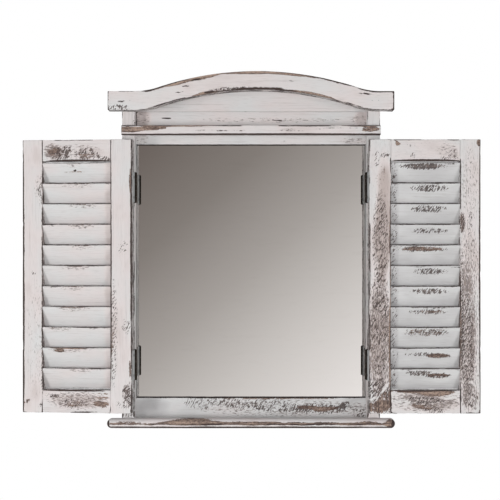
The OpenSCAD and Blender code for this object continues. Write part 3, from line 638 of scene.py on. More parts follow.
def arch(x):
    """Height of the arch over its foot: a crown arc in the middle that meets a foot arc at each side."""
    case = sizes("case_sizes")
    turn = 2 * np.arctan(case.arch_rise / case.arch_half)
    radius = case.arch_half / np.sin(turn)
    crown, foot = radius * case.crown_share, radius * (1 - case.crown_share)
    away = np.abs(x - case.arch_shift)
    top = case.arch_rise - crown + np.sqrt(np.maximum(crown**2 - away**2, 0))
    side = foot - np.sqrt(np.maximum(foot**2 - np.minimum(case.arch_half - away, foot) ** 2, 0))
    height = np.where(away < crown * np.sin(turn), top, side)
    return np.where(away < case.arch_half, height, 0.0)


def limits(node):
    """Lowest and highest corner of a node, as arrays."""
    return [np.array(corner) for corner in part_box(node)]


# ---- Materials ----


def feed(tree, node, inputs):
    """Links or sets inputs of a node, by name or number."""
    for key, value in inputs.items():
        if isinstance(value, bpy.types.NodeSocket):
            tree.links.new(value, node.inputs[key])
        else:
            node.inputs[key].default_value = value


def add(tree, kind, *values, socket=0, **settings):
    """Adds a node, sets its properties, sets or links its inputs, and gives one of its outputs.

    Values are for the inputs in order, and a dictionary holds inputs by name or number."""
    made = tree.nodes.new("ShaderNode" + kind)
    for key, value in settings.items():
        setattr(made, key, value)
    for number, value in enumerate(values):
        feed(tree, made, value if isinstance(value, dict) else {number: value})
    return made.outputs[socket] if len(made.outputs) else made


# Settings that many nodes share: a * b + c, and a soft step between two limits.
TIMES_PLUS = {"operation": "MULTIPLY_ADD"}
SOFT = {"interpolation_type": "SMOOTHSTEP"}


def summed(tree, total, *terms):
    """A first amount, plus each term's value times its weight."""
    for value, weight in terms:
        total = add(tree, "Math", value, weight, total, **TIMES_PLUS)
    return total


def coated(tree, colour, *coats):
    """A colour under coats of others, each with the share that it covers."""
    for cover, coat in coats:
        under, over = (c if isinstance(c, bpy.types.NodeSocket) else (*c, 1.0) for c in (colour, coat))
        colour = add(tree, "Mix", {0: cover, 6: under, 7: over}, data_type="RGBA", socket=2)
    return colour


def new_material(name):
    """Material with only its output and a Principled shader, and the place of a point in the frame."""
    made = bpy.data.materials.new(name)
    made.use_nodes = True
    tree = made.node_tree
    return made, tree, tree.nodes["Principled BSDF"], add(tree, "TexCoord", socket="Object")


def patterns(tree, place, table):
    """Noises by name, from rows of (name, size along, across and through in mm, detail, roughness)."""
    made = {}
    for key, size, detail, rough in table:
        spread = tuple(1 / (s * MM) for s in size)
        stretched = add(tree, "VectorMath", place, spread, operation="MULTIPLY")
        inputs = {"Vector": stretched, "Scale": 1.0, "Detail": detail, "Roughness": rough}
        made[key] = add(tree, "TexNoise", inputs)
    return made


def ramp(tree, value, stops):
    """Colour ramp from rows of (position, linear colour)."""
    stops = list(stops)
    made = add(tree, "ValToRGB", value)
    elements = made.node.color_ramp.elements
    while len(elements) < len(stops):
        elements.new(0.5)
    for element, (position, colour) in zip(elements, stops):
        element.position = position
        element.color = (*colour, 1.0)
    return made


def whitewashed_pine(name):
    """Pine stained dark, brushed with whitewash and sanded through by hand.

    It gives the eye a matt, slightly chalky white with a faint streak of grain, fine dark streaks where it is
    rubbed thin, slanting strokes where sandpaper bit, brown mottled wood where it is bare, and dark lines on
    the edges and dark wood on side faces, undersides and crevices, which are dirt and stain and partly
    painted shade. Growth rings are 2.2 mm wide and 90 mm long, as in a slash-sawn board, flecks 5.5 by 1.3 mm
    and strokes 5 by 1.5 mm. Grain hairs are drawn 0.9 mm wide, coarser than real ones, so that they show."""
    colours = sizes("finishes")
    made, tree, shader, place = new_material(name)
    keys = ("bare", "rubbed", "scuffed", "grimed", "tone")
    layer = {key: add(tree, "Attribute", attribute_name=key, socket="Fac") for key in keys}
    grain = add(tree, "Attribute", attribute_name="grain", socket="Vector")
    noises = (
        ("drift", (70, 35, 35), 2.0, 0.5),
        ("ring", (90, 2.2, 2.2), 4.0, 0.6),
        ("hair", (14, 0.9, 0.9), 3.0, 0.5),
        ("fleck", (5.5, 1.3, 1.3), 2.0, 0.6),
        ("speck", (3.4, 2.2, 2.2), 3.0, 0.7),
        ("run", (22, 5, 5), 4.0, 0.65),
    )
    n = patterns(tree, grain, noises)
    slanted = {"Vector": place, "Rotation": (0, np.radians(-58), 0), "Scale": (5 * MM, 5 * MM, 1.5 * MM)}
    slanted = add(tree, "Mapping", slanted, vector_type="TEXTURE")
    stroke = add(tree, "TexNoise", {"Vector": slanted, "Scale": 1.0, "Detail": 1.5, "Roughness": 0.6})

    thinned = {}
    for key, weight, broken, low, high, least in (
        ("rubbed", 0.17, n["fleck"], 0.60, 0.70, 0.0),
        ("scuffed", 0.15, stroke, 0.61, 0.67, 0.02),
    ):
        broken = add(tree, "MapRange", summed(tree, broken, (layer[key], weight)), low, high, **SOFT)
        touched = add(tree, "MapRange", layer[key], least, 0.2)
        thinned[key] = add(tree, "Math", broken, touched, operation="MULTIPLY")
    bare = summed(tree, -1.45, (n["run"], 1.1), (n["speck"], 1.0), (n["ring"], 0.8), (layer["bare"], 1.0))
    bare = add(tree, "MapRange", bare, 0.42, 0.54, **SOFT)
    # painted shade and dirt: dark wood where the layer from the wood pieces is high, on edges, side faces,
    # undersides and crevices
    grimed = summed(tree, -0.75, (n["run"], 0.9), (n["speck"], 0.6), (layer["grimed"], 1.0))
    grimed = add(tree, "MapRange", grimed, 0.40, 0.60, **SOFT)

    tone = summed(tree, -0.45, (n["drift"], 0.9), (layer["tone"], 1.0), (layer["rubbed"], -0.22))
    tints = (colours.paint_stained, colours.paint_warm, colours.paint_cool, colours.paint_grey)
    paint = ramp(tree, tone, zip((0.0, 0.3, 0.62, 1.0), tints))
    streak = add(tree, "MapRange", n["ring"], 0.52, 0.80, 0.0, 0.34, **SOFT)
    fibre = add(tree, "MapRange", n["hair"], 0.50, 0.78, 0.0, 0.22, **SOFT)
    streak = add(tree, "Math", streak, fibre, operation="ADD")
    paint = coated(tree, paint, (streak, colours.wash_grey))

    depth = summed(tree, -1.2, (n["speck"], 1.7), (n["ring"], 1.2), (layer["bare"], 0.35))
    tints = (colours.wood_dark, colours.wood_mid, colours.wood_light)
    wood = ramp(tree, depth, zip((0.20, 0.48, 0.85), tints))
    rubbed_wood = coated(tree, wood, (0.35, colours.wash_grey))
    scuffed_wood = coated(tree, wood, (0.5, colours.wood_dark))
    rubbed = add(tree, "Math", thinned["rubbed"], 0.8, operation="MULTIPLY")
    scuffed = add(tree, "Math", thinned["scuffed"], 0.9, operation="MULTIPLY")
    coats = ((rubbed, rubbed_wood), (bare, wood), (scuffed, scuffed_wood), (grimed, colours.wood_dark))
    colour = coated(tree, paint, *coats)

    gone = add(tree, "Math", thinned["rubbed"], thinned["scuffed"], operation="MAXIMUM")
    gone = add(tree, "Math", gone, grimed, operation="MAXIMUM")
    gone = add(tree, "Math", gone, 0.7, operation="MULTIPLY")
    gone = add(tree, "Math", gone, bare, operation="MAXIMUM")
    rough = summed(tree, 0.5, (gone, 0.18), (n["hair"], 0.2))
    relief = summed(tree, 0.0, (n["ring"], 0.6), (n["hair"], 0.35), (gone, -0.8))
    bump = add(tree, "Bump", {"Height": relief, "Strength": 0.6, "Distance": 0.35 * MM})
    feed(tree, shader, {"Base Color": colour, "Roughness": rough, "Normal": bump})
    return made


def aged_bronze(name):
    """Steel hinges with a dark bronze patina, rubbed bright on their high spots.

    It gives the eye a nearly black metal with warm, dull glints. Grains of the patina are drawn 2.5 mm wide,
    coarser than real ones, so that they show. The leaves were sanded with the paint, down to dull grey steel,
    and only their knuckles, within 3 mm of the hinge line, stay dark."""
    colours = sizes("finishes")
    made, tree, shader, place = new_material(name)
    n = patterns(tree, place, (("patina", (2.5, 2.5, 6), 4.0, 0.65), ("fine", (0.8, 0.8, 0.8), 2.0, 0.5)))
    bright = add(tree, "MapRange", n["patina"], 0.52, 0.75, **SOFT)
    bright = add(tree, "Math", bright, 0.6, operation="MULTIPLY")
    colour = coated(tree, colours.bronze, (bright, colours.bronze_rubbed))
    shader.inputs["Metallic"].default_value = 0.9
    if name == "sanded_steel_leaves":
        off = add(tree, "VectorMath", place, operation="ABSOLUTE")
        off = add(tree, "VectorMath", off, (*np.abs(hinge_line("left")), 0), operation="SUBTRACT")
        off = add(tree, "VectorMath", off, (1, 1, 0), operation="MULTIPLY")
        off = add(tree, "VectorMath", off, operation="LENGTH", socket="Value")
        off = summed(tree, off, (n["patina"], -2 * MM))
        painted = add(tree, "MapRange", off, 2.0 * MM, 2.4 * MM, **SOFT)
        colour = coated(tree, colour, (painted, colours.zinc))
        feed(tree, shader, {"Metallic": summed(tree, 0.9, (painted, -0.7))})
    rough = summed(tree, 0.40, (bright, -0.15), (n["fine"], 0.2))
    bump = add(tree, "Bump", {"Height": n["patina"], "Strength": 0.4, "Distance": 0.15 * MM})
    feed(tree, shader, {"Base Color": colour, "Roughness": rough, "Normal": bump})
    return made


def zinc_plate(name):
    """Zinc-plated steel, dulled by handling: pale grey metal with a soft crystal pattern 3 mm across."""
    colours = sizes("finishes")
    made, tree, shader, place = new_material(name)
    n = patterns(tree, place, (("crystal", (3, 3, 3), 3.0, 0.6), ("stain", (14, 14, 14), 3.0, 0.6)))
    dull = add(tree, "MapRange", n["stain"], 0.50, 0.80, 0.0, 0.5, **SOFT)
    colour = coated(tree, colours.zinc, (dull, colours.bronze_rubbed))
    shader.inputs["Metallic"].default_value = 1.0
    rough = summed(tree, 0.2, (n["crystal"], 0.3))
    bump = add(tree, "Bump", {"Height": n["crystal"], "Strength": 0.25, "Distance": 0.1 * MM})
    feed(tree, shader, {"Base Color": colour, "Roughness": rough, "Normal": bump})
    return made


def silvered_glass(name):
    """Float glass silvered on its back: a clear reflection, a trace of grey, and wiping marks 40 mm long.

    It darkens a thin line round the glass, up to about 1 mm inside the frame's edge: painted shade of the
    crevice where the glass meets the frame, drawn in the colour of silvering gone black. The distance inside
    the opening is half its size less the distance from its middle, across or up, whichever is less."""
    colours = sizes("finishes")
    made, tree, shader, place = new_material(name)
    n = patterns(tree, place, (("wiped", (40, 40, 9), 3.0, 0.6), ("damp", (16, 16, 16), 3.0, 0.6)))
    wide = -limits("left_post")[1][0]
    foot, top = limits("apron_board")[1][2], limits("frieze_board")[0][2]
    off = add(tree, "VectorMath", place, (0, 0, (foot + top) / 2), operation="SUBTRACT")
    off = add(tree, "VectorMath", off, operation="ABSOLUTE")
    inside = add(tree, "VectorMath", (wide, 1.0, (top - foot) / 2), off, operation="SUBTRACT")
    sides = add(tree, "SeparateXYZ", inside).node.outputs
    inside = add(tree, "Math", sides["X"], sides["Z"], operation="MINIMUM")
    inside = summed(tree, inside, (n["damp"], -1.2 * MM))
    # painted shade: near-black just inside the frame's edge
    black = add(tree, "MapRange", inside, 0.0, 0.6 * MM, 0.9, 0.0, **SOFT)
    dusty = add(tree, "MapRange", n["wiped"], 0.50, 0.80, 0.0, 0.03, **SOFT)
    colour = coated(tree, colours.silver, (dusty, colours.wash_grey), (black, colours.tarnish_and_shade))
    shader.inputs["Metallic"].default_value = 1.0
    rough = add(tree, "Math", dusty, 0.012, operation="ADD")
    feed(tree, shader, {"Base Color": colour, "Roughness": rough})
    return made


def hardboard(name):
    """Pressed hardboard, rough side out: brown matted fibre, 3 mm long, that clouds over 60 mm."""
    colours = sizes("finishes")
    made, tree, shader, place = new_material(name)
    n = patterns(tree, place, (("fibre", (3, 3, 3), 5.0, 0.7), ("cloud", (60, 60, 60), 2.0, 0.5)))
    dark = summed(tree, 0.0, (n["cloud"], 0.5), (n["fibre"], 0.7))
    dark = add(tree, "MapRange", dark, 0.75, 0.45, 0.0, 0.55, **SOFT)
    colour = coated(tree, colours.hardboard, (dark, colours.wood_dark))
    rough = summed(tree, 0.7, (n["fibre"], 0.2))
    bump = add(tree, "Bump", {"Height": n["fibre"], "Strength": 0.6, "Distance": 0.3 * MM})
    feed(tree, shader, {"Base Color": colour, "Roughness": rough, "Normal": bump})
    return made


def finish(name):
    """The material of that name, made when it is first asked for."""
    makers = {
        "whitewashed_pine_boards": whitewashed_pine,
        "whitewashed_pine_slats": whitewashed_pine,
        "aged_bronze_pins": aged_bronze,
        "sanded_steel_leaves": aged_bronze,
        "zinc_plated_steel": zinc_plate,
        "silvered_float_glass": silvered_glass,
        "pressed_hardboard": hardboard,
    }
    return bpy.data.materials.get(name) or makers[name](name)


def refinish(material, *nodes):
    """Gives carried-over nodes one material."""
    for node in nodes:
        mesh = frame["nodes"][node].data
        mesh.materials.clear()
        mesh.materials.append(finish(material))


# ---- Operators: the case ----


class MIRROR_OT_posts(bpy.types.Operator):
    """Build the two rebated posts"""

    bl_idname = "mirror.posts"
    bl_label = "Posts"

    def execute(self, context):
        case = sizes("case_sizes")
        glass_front = limits("mirror_glass")[0][1]
        over_rebate = 0.5 * MM
        for side in SIDES:
            low, high = limits(f"{side}_post")
            span = stations(low[2], high[2], case.arris)
            deep = np.where(span[0] < case.rebate_top, case.rebate, over_rebate)
            outer, inner = (low[0], high[0]) if side == "left" else (high[0], low[0])
            cut = inner + np.sign(outer) * deep
            ring = ((outer, low[1]), (inner, low[1]), (inner, glass_front), (cut, glass_front))
            corners = outline((*ring, (cut, high[1]), (outer, high[1])), span[0])
            radii = case.arris * np.array([1, 1, 0.3, 0.3, 0.3, 1])
            if side == "right":
                corners, radii = corners[:, ::-1], radii[::-1]
            wooden(f"{side}_post", corners, radii, span, in_frame("zxy"), 0.3, tone=0.50)
        return {"FINISHED"}


class MIRROR_OT_recessed_boards(bpy.types.Operator):
    """Build the apron, frieze and pediment boards between the posts"""

    bl_idname = "mirror.recessed_boards"
    bl_label = "Recessed boards"

    def execute(self, context):
        case = sizes("case_sizes")
        into_post = 0.3 * MM
        half = -limits("left_post")[1][0] + into_post
        glass_front = limits("mirror_glass")[0][1]
        span = stations(-half, half, case.arris / 2)
        radii, place = case.arris * 0.6, in_frame("xzy")
        for node, tone in (("apron_board", 0.56), ("frieze_board", 0.50)):
            (_, front, bottom), (_, back, top) = limits(node)
            if node == "apron_board":
                lip = top - case.rebate
                behind = ((top, glass_front), (lip, glass_front), (lip, back), (bottom, back))
            else:
                lip = bottom + case.rebate
                behind = ((top, back), (lip, back), (lip, glass_front), (bottom, glass_front))
            corners = outline(((bottom, front), (top, front), *behind), span[0])
            # painted shade: sides 0.8 darkens the frieze's underside and the apron's top beside the glass, as
            # shade in the rebate, partly as bare wood
            wooden(node, corners, radii, span, place, 0.1, tone=tone, sides=0.8)
        low, high = limits("pediment_board")
        top = high[2] - case.arch_rise + arch(span[0])
        corners = rectangle(low[2], top, low[1], high[1], span[0])
        wooden("pediment_board", corners, radii, span, place, 0.1, tone=0.42)
        return {"FINISHED"}


class MIRROR_OT_cornice(bpy.types.Operator):
    """Build the arched cornice and the cross moulding"""

    bl_idname = "mirror.cornice"
    bl_label = "Cornice and moulding"

    def execute(self, context):
        case = sizes("case_sizes")
        low, high = limits("cornice_board")
        span = stations(low[0], high[0], case.arris)
        rise = arch(span[0])
        corners = rectangle(low[2] + rise, high[2] - case.arch_rise + rise, low[1], high[1], span[0])

        # painted shade: the underside of the cornice is drawn as dark wood, as shade under it
        def underside_shade(seen):
            return low[2] + case.cornice_underside + arch(seen[..., 0]) - seen[..., 2]

        wooden("cornice_board", corners, case.arris, span, in_frame("xzy"), 0.3, painted_shade_beyond=underside_shade)
        bottom, top = limits("cross_moulding")
        span = stations(bottom[0], top[0], case.arris)
        corners = rectangle(bottom[2], top[2], bottom[1], top[1], span[0])
        radii = np.array([case.moulding_arris, case.moulding_arris, case.arris / 2, case.arris / 2])
        wooden("cross_moulding", corners, radii, span, in_frame("xzy"), 0.45)
        return {"FINISHED"}


class MIRROR_OT_sill(bpy.types.Operator):
    """Build the sill: a nose with a half-round front and ends, and behind it the ledge under the posts"""

    bl_idname = "mirror.sill"
    bl_label = "Sill"

    def execute(self, context):
        low, high = limits("sill_board")
        nose = (high[2] - low[2]) / 2
        middle = low[2] + nose
        least_square = 1e-14
        quarter = nose * (1 - np.cos(np.radians(np.linspace(0, 90, 9))))
        core = np.arange(low[0] + nose, high[0] - nose, sizes("wear_sizes").step_along)[1:]
        post_low, post_high = limits("right_post")
        ledge_end = post_high[0] + np.array([-0.05, 0.05]) * MM
        core = np.sort(np.concatenate([core, -ledge_end, ledge_end]))
        place = np.concatenate([low[0] + quarter, core, high[0] - quarter[::-1]])
        from_end = np.minimum(np.minimum(place - low[0], high[0] - place), nose)
        half = np.sqrt(np.maximum(nose**2 - (nose - from_end) ** 2, least_square))
        ledge = np.abs(place) < post_high[0]
        front, step = low[1] + nose - half, post_low[1]
        back = np.where(ledge, high[1], step + 0.02 * MM)
        seat = np.where(ledge, post_low[2], middle)
        bottom, top = middle - half, middle + half
        ring = ((top, front), (top, step), (seat, step), (seat, back), (bottom, back), (bottom, front))
        span = (place, np.zeros(len(place)), np.ones(len(place)))
        radii = half[:, None] * np.array([0.98, 0.15, 0.0, 0.05, 0.15, 0.98])
        wooden("sill_board", outline(ring, place), radii, span, in_frame("xzy"), 0.0, tone=0.40, sides=0.0)
        return {"FINISHED"}


class MIRROR_OT_glass(bpy.types.Operator):
    """Finish the mirror glass, the backing board and the hangers"""

    bl_idname = "mirror.glass"
    bl_label = "Glass, back and fixings"

    def execute(self, context):
        refinish("silvered_float_glass", "mirror_glass")
        refinish("pressed_hardboard", "backing_board")
        refinish("zinc_plated_steel", "left_hanger", "right_hanger", "hanger_screws", "backing_pins")
        refinish("zinc_plated_steel", "glazing_points", "sill_screws", "cornice_brads", "moulding_brads")
        return {"FINISHED"}


# ---- Operators: the shutters ----


def hinge_line(side):
    """Place of a shutter's hinge line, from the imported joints."""
    joint = next(j for j in frame["joints"] if j["child"] == f"{side}_shutter")
    return np.array(joint["pos_m"][:2])


def hung(side):
    """A shutter's swing from closed, 1 for the left one or -1 for its mirror image, and its hinge line."""
    shutters = sizes("shutter_sizes")
    left = side == "left"
    return shutters.left_open if left else shutters.right_open, 1 if left else -1, hinge_line(side)


def swing(side, order=(0, 1, 2)):
    """Puts a point of a closed shutter where it stands open, with x and y turned about the hinge line.

    The order tells which numbers of the point are its height, its distance across from the hinge line and its
    distance through from the front."""
    opened, mirror, line = hung(side)
    turn = -opened

    def place(local):
        z, across, through = (local[..., k] for k in order)
        x = across * np.cos(turn) - through * np.sin(turn)
        y = across * np.sin(turn) + through * np.cos(turn)
        return np.stack([line[0] + mirror * x, line[1] + y, z], -1)

    return place


def closed_limits(side, part):
    """Lowest and highest corner of a shutter's part, measured as if it were closed: (across, through, z)."""
    turn, mirror, line = hung(side)
    mesh = frame["nodes"][f"{side}_{part}"].data
    flat = np.empty(len(mesh.vertices) * 3, np.float32)
    mesh.vertices.foreach_get("co", flat)
    at = flat.reshape(-1, 3).astype(float)
    x, y = (at[:, 0] - line[0]) * mirror, at[:, 1] - line[1]
    back = np.stack([x * np.cos(turn) - y * np.sin(turn), x * np.sin(turn) + y * np.cos(turn), at[:, 2]], -1)
    return back.min(0), back.max(0)


def between_stiles(side, overlap):
    """Start and end of what fits between a shutter's stiles, and reaches into them by the overlap."""
    start, end = closed_limits(side, "hinge_stile")[1][0], closed_limits(side, "free_stile")[0][0]
    return start - overlap, end + overlap


class MIRROR_OT_shutter_frames(bpy.types.Operator):
    """Build the stiles and rails of both shutters"""

    bl_idname = "mirror.shutter_frames"
    bl_label = "Shutter frames"

    def execute(self, context):
        arris = sizes("case_sizes").arris
        for side, edge, rub, tone in (("left", 0.45, 0.0, 0.40), ("right", 0.60, 0.05, 0.46)):
            body = f"{side}_shutter"
            for part in ("hinge_stile", "free_stile", "top_rail", "bottom_rail"):
                low, high = closed_limits(side, part)
                if part.endswith("stile"):
                    span, place, wide = stations(low[2], high[2], arris), swing(side), 0
                else:
                    span, place = stations(*between_stiles(side, 0.0), arris / 2), swing(side, (1, 0, 2))
                    wide = 2
                corners = rectangle(low[wide], high[wide], low[1], high[1], span[0])
                # painted shade: sides 0.5 darkens the stiles' and rails' side faces round the slats, partly
                # as stain
                wooden(f"{side}_{part}", corners, arris, span, place, edge, body, tone, rub, sides=0.5)
        return {"FINISHED"}


def slat_marks(side, number, top, start, end):
    """Marks of one slat, by kind: a dark line at its top, which is dirt and painted shade of the crevice, its
    worn top edge, sanded smears on the right, and stain at its ends.
    """
    # painted shade: the line along the slat's top stands for the crevice's shade, with dirt
    marks = {"line": [((start + end) / 2, top, 90, 1.1, 0.8)], "bare": [], "dash": []}
    stain = top - 15
    if side == "left":
        x, wide, strength = LEFT_SLAT_WEAR[(number - 1) % len(LEFT_SLAT_WEAR)]
        marks["arris"] = [(x, top, wide, 2.8, strength * 0.7)]
        marks["rub"] = [(x, top - 3, wide, 5, 0.5)]
        marks["warm"] = [(end, stain, 14, 30, 0.25)]
        for slat, kind, x, drop, *rest in LEFT_SLAT_SPOTS:
            if slat == number:
                marks[kind].append((x, top - drop, *rest))
    else:
        marks["warm"] = [(start, stain, 14, 30, -0.3)]
        marks["scuff"] = [(start, stain, 13, 30, 0.3)]
        for slat, x, drop, wide, high, scuffed, bare in RIGHT_SLAT_SMEARS:
            if slat == number:
                marks["scuff"].append((x, top - drop, wide, high, scuffed))
                marks["bare"].append((x, top - drop, wide, high, bare))
    return marks


class MIRROR_OT_slats(bpy.types.Operator):
    """Build the leaning slats of both shutters"""

    bl_idname = "mirror.slats"
    bl_label = "Slats"

    def execute(self, context):
        shutters = sizes("shutter_sizes")
        thick = shutters.slat_thickness
        lean = -shutters.slat_lean
        last = shutters.slat_count
        into_stile, end_arris = 0.5 * MM, 0.3 * MM
        tops = [closed_limits("left", f"slat_{number:02d}")[1][2] for number in (1, last)]
        pitch = abs(tops[1] - tops[0]) / (last - 1)
        for side, tone in (("left", 0.50), ("right", 0.75)):
            place = swing(side)
            start, end = between_stiles(side, into_stile)
            ends = sorted(place(np.array([[0, start, 0], [0, end, 0]]))[:, 0] / MM)
            rail_top = closed_limits(side, "bottom_rail")[1][2]
            span = stations(start, end, end_arris)
            for number in range(1, last + 1):
                low, high = closed_limits(side, f"slat_{number:02d}")
                middle = (low + high) / 2
                wide = (high[2] - low[2] - thick) / np.cos(lean) + thick
                corners = rectangle(-wide / 2, wide / 2, -thick / 2, thick / 2, span[0])

                def lay(local, place=place, middle=middle):
                    up = local[..., 1] * np.cos(lean) + local[..., 2] * np.sin(lean)
                    back = -local[..., 1] * np.sin(lean) + local[..., 2] * np.cos(lean)
                    return place(np.stack([middle[2] + up, local[..., 0], middle[1] + back], -1))

                next_top = max(high[2] - pitch, rail_top) if number < last else rail_top

                # painted shade: the face of a slat is drawn dark below where the next slat hides it from a
                # point in front, as shade in the crevice
                def crevice_shade(seen, next_top=next_top):
                    rise = (next_top - shutters.crevice_shade_height) / shutters.crevice_shade_away
                    return next_top + shutters.slat_crevice + rise * shutters.slat_gap - seen[..., 2]

                marks = slat_marks(side, number, high[2] / MM, *ends)
                wooden(
                    f"{side}_slat_{number:02d}", corners, thick * 0.49, span, lay, 0.15, f"{side}_shutter",
                    tone, marks=marks, slot="painted_slat", painted_shade_beyond=crevice_shade,
                )
        return {"FINISHED"}


class MIRROR_OT_hinges(bpy.types.Operator):
    """Finish the hinges, their pins and their screws"""

    bl_idname = "mirror.hinges"
    bl_label = "Hinges"

    def execute(self, context):
        for side in SIDES:
            for level in LEVELS:
                leaves = f"{side}_{level}_post_leaf", f"{side}_{level}_shutter_leaf"
                refinish("sanded_steel_leaves", *leaves)
            refinish("aged_bronze_pins", f"{side}_shutter_screws")
        refinish("aged_bronze_pins", "hinge_pins", "post_hinge_screws")
        return {"FINISHED"}


# ---- Operator: the stage ----


class MIRROR_OT_stage(bpy.types.Operator):
    """Set up the camera, the lamps, the floor and the grey card that the glass shows"""

    bl_idname = "mirror.stage"
    bl_label = "Stage"

    def execute(self, context):
        stage = sizes("stage_sizes")
        scene = context.scene
        low, high = CAD_BOX
        cornice_front = limits("cornice_board")[0][1]
        camera = bpy.data.objects.new("camera", bpy.data.cameras.new("camera"))
        camera.location = (stage.camera_side, cornice_front - stage.camera_away, stage.camera_height)
        camera.rotation_euler = (np.pi / 2, 0, 0)
        camera.data.lens = stage.lens
        scene.collection.objects.link(camera)
        scene.camera = camera
        middle_z = (low[2] + high[2]) / 2
        lamp_height = 0.8
        # Turn from the front and lift over the middle in degrees, watts, and width in metres
        for name, turn, lift, power, wide in (
            ("key_lamp", -44, -2, stage.key_power, 0.30),
            ("fill_lamp", 41, -4, stage.fill_power, 0.45),
            ("rim_lamp", 150, 3, stage.rim_power, 0.9),
            ("front_lamp", 0, -8, stage.front_power, 1.2),
        ):
            lamp = bpy.data.lights.new(name, "AREA")
            lamp.shape = "RECTANGLE"
            lamp.size, lamp.size_y = wide, lamp_height
            lamp.energy = power
            light = bpy.data.objects.new(name, lamp)
            turned, rise = np.radians(turn), np.radians(lift)
            level = stage.lamp_away * np.cos(rise)
            height = middle_z + stage.lamp_away * np.sin(rise)
            light.location = (level * np.sin(turned), -level * np.cos(turned), height)
            light.rotation_euler = (np.pi / 2 - rise, 0, turned)
            light.visible_camera = light.visible_glossy = False
            scene.collection.objects.link(light)
        lay_floor(low[2] - stage.floor_drop)
        hang_card(middle_z)
        light_world(stage.ambient)
        scene.view_settings.view_transform = "Standard"
        return {"FINISHED"}


def flat_sheet(name, corners, material):
    """Stage piece with four corners."""
    mesh = bpy.data.meshes.new(name)
    mesh.from_pydata(corners, [], [(0, 1, 2, 3)])
    mesh.materials.append(material)
    sheet = bpy.data.objects.new(name, mesh)
    bpy.context.scene.collection.objects.link(sheet)
    return sheet


def looked_at(tree):
    """1 for rays of the camera, of reflections and through glass, and 0 for rays of light on its way."""
    path = add(tree, "LightPath").node.outputs
    seen = add(tree, "Math", path["Is Camera Ray"], path["Is Glossy Ray"], operation="MAXIMUM")
    return add(tree, "Math", seen, path["Is Transmission Ray"], operation="MAXIMUM")


def lay_floor(height):
    """Pale floor that takes the mirror's shadow, and fades to white from 0.9 to 2.2 m away from below it."""
    far, fade_start, fade_end = 12.0, 0.9, 2.2
    made, tree, shader, place = new_material("pale_floor")
    shader.inputs["Base Color"].default_value = (*linear("#f1f0ee"), 1.0)
    shader.inputs["Roughness"].default_value = 0.9
    away = add(tree, "VectorMath", place, (1, 1, 0), operation="MULTIPLY")
    away = add(tree, "VectorMath", away, operation="LENGTH", socket="Value")
    fade = add(tree, "MapRange", away, fade_start, fade_end, **SOFT)
    fade = add(tree, "Math", fade, looked_at(tree), operation="MULTIPLY")
    white = add(tree, "Emission", (1, 1, 1, 1), 1.0)
    mixed = add(tree, "MixShader", fade, shader.outputs[0], white)
    feed(tree, tree.nodes["Material Output"], {"Surface": mixed})
    corners = [(x * far, y * far, height) for x, y in ((-1, -1), (1, -1), (1, 1), (-1, 1))]
    flat_sheet("floor", corners, made)


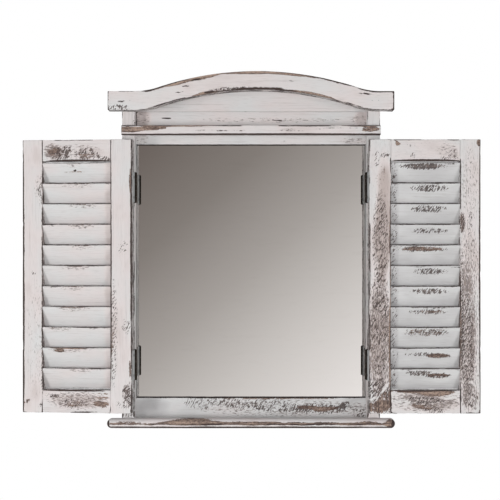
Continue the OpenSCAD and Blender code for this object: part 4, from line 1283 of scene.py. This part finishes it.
def hang_card(middle_z):
    """Grey card behind the camera, seen only in reflections: dark at upper left, pale at lower right."""
    away, wide, high = 3.0, 4.0, 3.2
    down_right, from_dark, glow = (0.4446, 0.0, -0.5038), 0.3507, 1.3
    stops = ((0.0, "#6b635f"), (0.25, "#837d79"), (0.5, "#a6a19e"), (0.75, "#cbc7c5"), (1.0, "#e6e2e1"))
    made = bpy.data.materials.new("grey_card")
    made.use_nodes = True
    tree = made.node_tree
    tree.nodes.clear()
    place = add(tree, "TexCoord", socket="Object")
    value = add(tree, "VectorMath", place, down_right, operation="DOT_PRODUCT", socket="Value")
    value = add(tree, "Math", value, from_dark, operation="ADD")
    colour = ramp(tree, value, [(at, linear(code)) for at, code in stops])
    add(tree, "OutputMaterial", {"Surface": add(tree, "Emission", {"Color": colour, "Strength": glow})})
    low, top = middle_z - high, middle_z + high
    corners = [(-wide, -away, low), (-wide, -away, top), (wide, -away, top), (wide, -away, low)]
    card = flat_sheet("grey_card", corners, made)
    card.visible_camera = card.visible_diffuse = card.visible_shadow = card.visible_transmission = False


def light_world(ambient):
    """World: white to the camera and in reflections, and a soft even light on the object."""
    world = bpy.data.worlds.new("studio")
    world.use_nodes = True
    tree = world.node_tree
    tree.nodes.clear()
    strength = summed(tree, ambient, (looked_at(tree), 1 - ambient))
    back = add(tree, "Background", {"Color": (1, 1, 1, 1), "Strength": strength})
    add(tree, "OutputWorld", {"Surface": back})
    bpy.context.scene.world = world


class MIRROR_PT_panel(bpy.types.Panel):
    """Steps of the shutter mirror, in order"""

    bl_label = "Shutter mirror"
    bl_idname = "MIRROR_PT_panel"
    bl_space_type = "VIEW_3D"
    bl_region_type = "UI"
    bl_category = "Shutter mirror"

    def draw(self, context):
        for step in STEPS:
            self.layout.operator(step.bl_idname)


GROUPS = (
    ("case_sizes", CaseSizes),
    ("shutter_sizes", ShutterSizes),
    ("wear_sizes", WearSizes),
    ("finishes", Finishes),
    ("stage_sizes", StageSizes),
)
STEPS = (
    MIRROR_OT_stage,
    MIRROR_OT_posts,
    MIRROR_OT_recessed_boards,
    MIRROR_OT_cornice,
    MIRROR_OT_sill,
    MIRROR_OT_glass,
    MIRROR_OT_shutter_frames,
    MIRROR_OT_slats,
    MIRROR_OT_hinges,
)


def register():
    for name, group in GROUPS:
        bpy.utils.register_class(group)
        setattr(bpy.types.Scene, name, bpy.props.PointerProperty(type=group))
    for kind in (*STEPS, MIRROR_PT_panel):
        bpy.utils.register_class(kind)


def unregister():
    for kind in (MIRROR_PT_panel, *reversed(STEPS)):
        bpy.utils.unregister_class(kind)
    for name, group in reversed(GROUPS):
        delattr(bpy.types.Scene, name)
        bpy.utils.unregister_class(group)


def main():
    register()
    bpy.ops.mirror.stage()
    bpy.ops.mirror.posts()
    bpy.ops.mirror.recessed_boards()
    bpy.ops.mirror.cornice()
    bpy.ops.mirror.sill()
    bpy.ops.mirror.glass()
    bpy.ops.mirror.shutter_frames()
    bpy.ops.mirror.slats()
    bpy.ops.mirror.hinges()


if __name__ == "__main__":
    main()
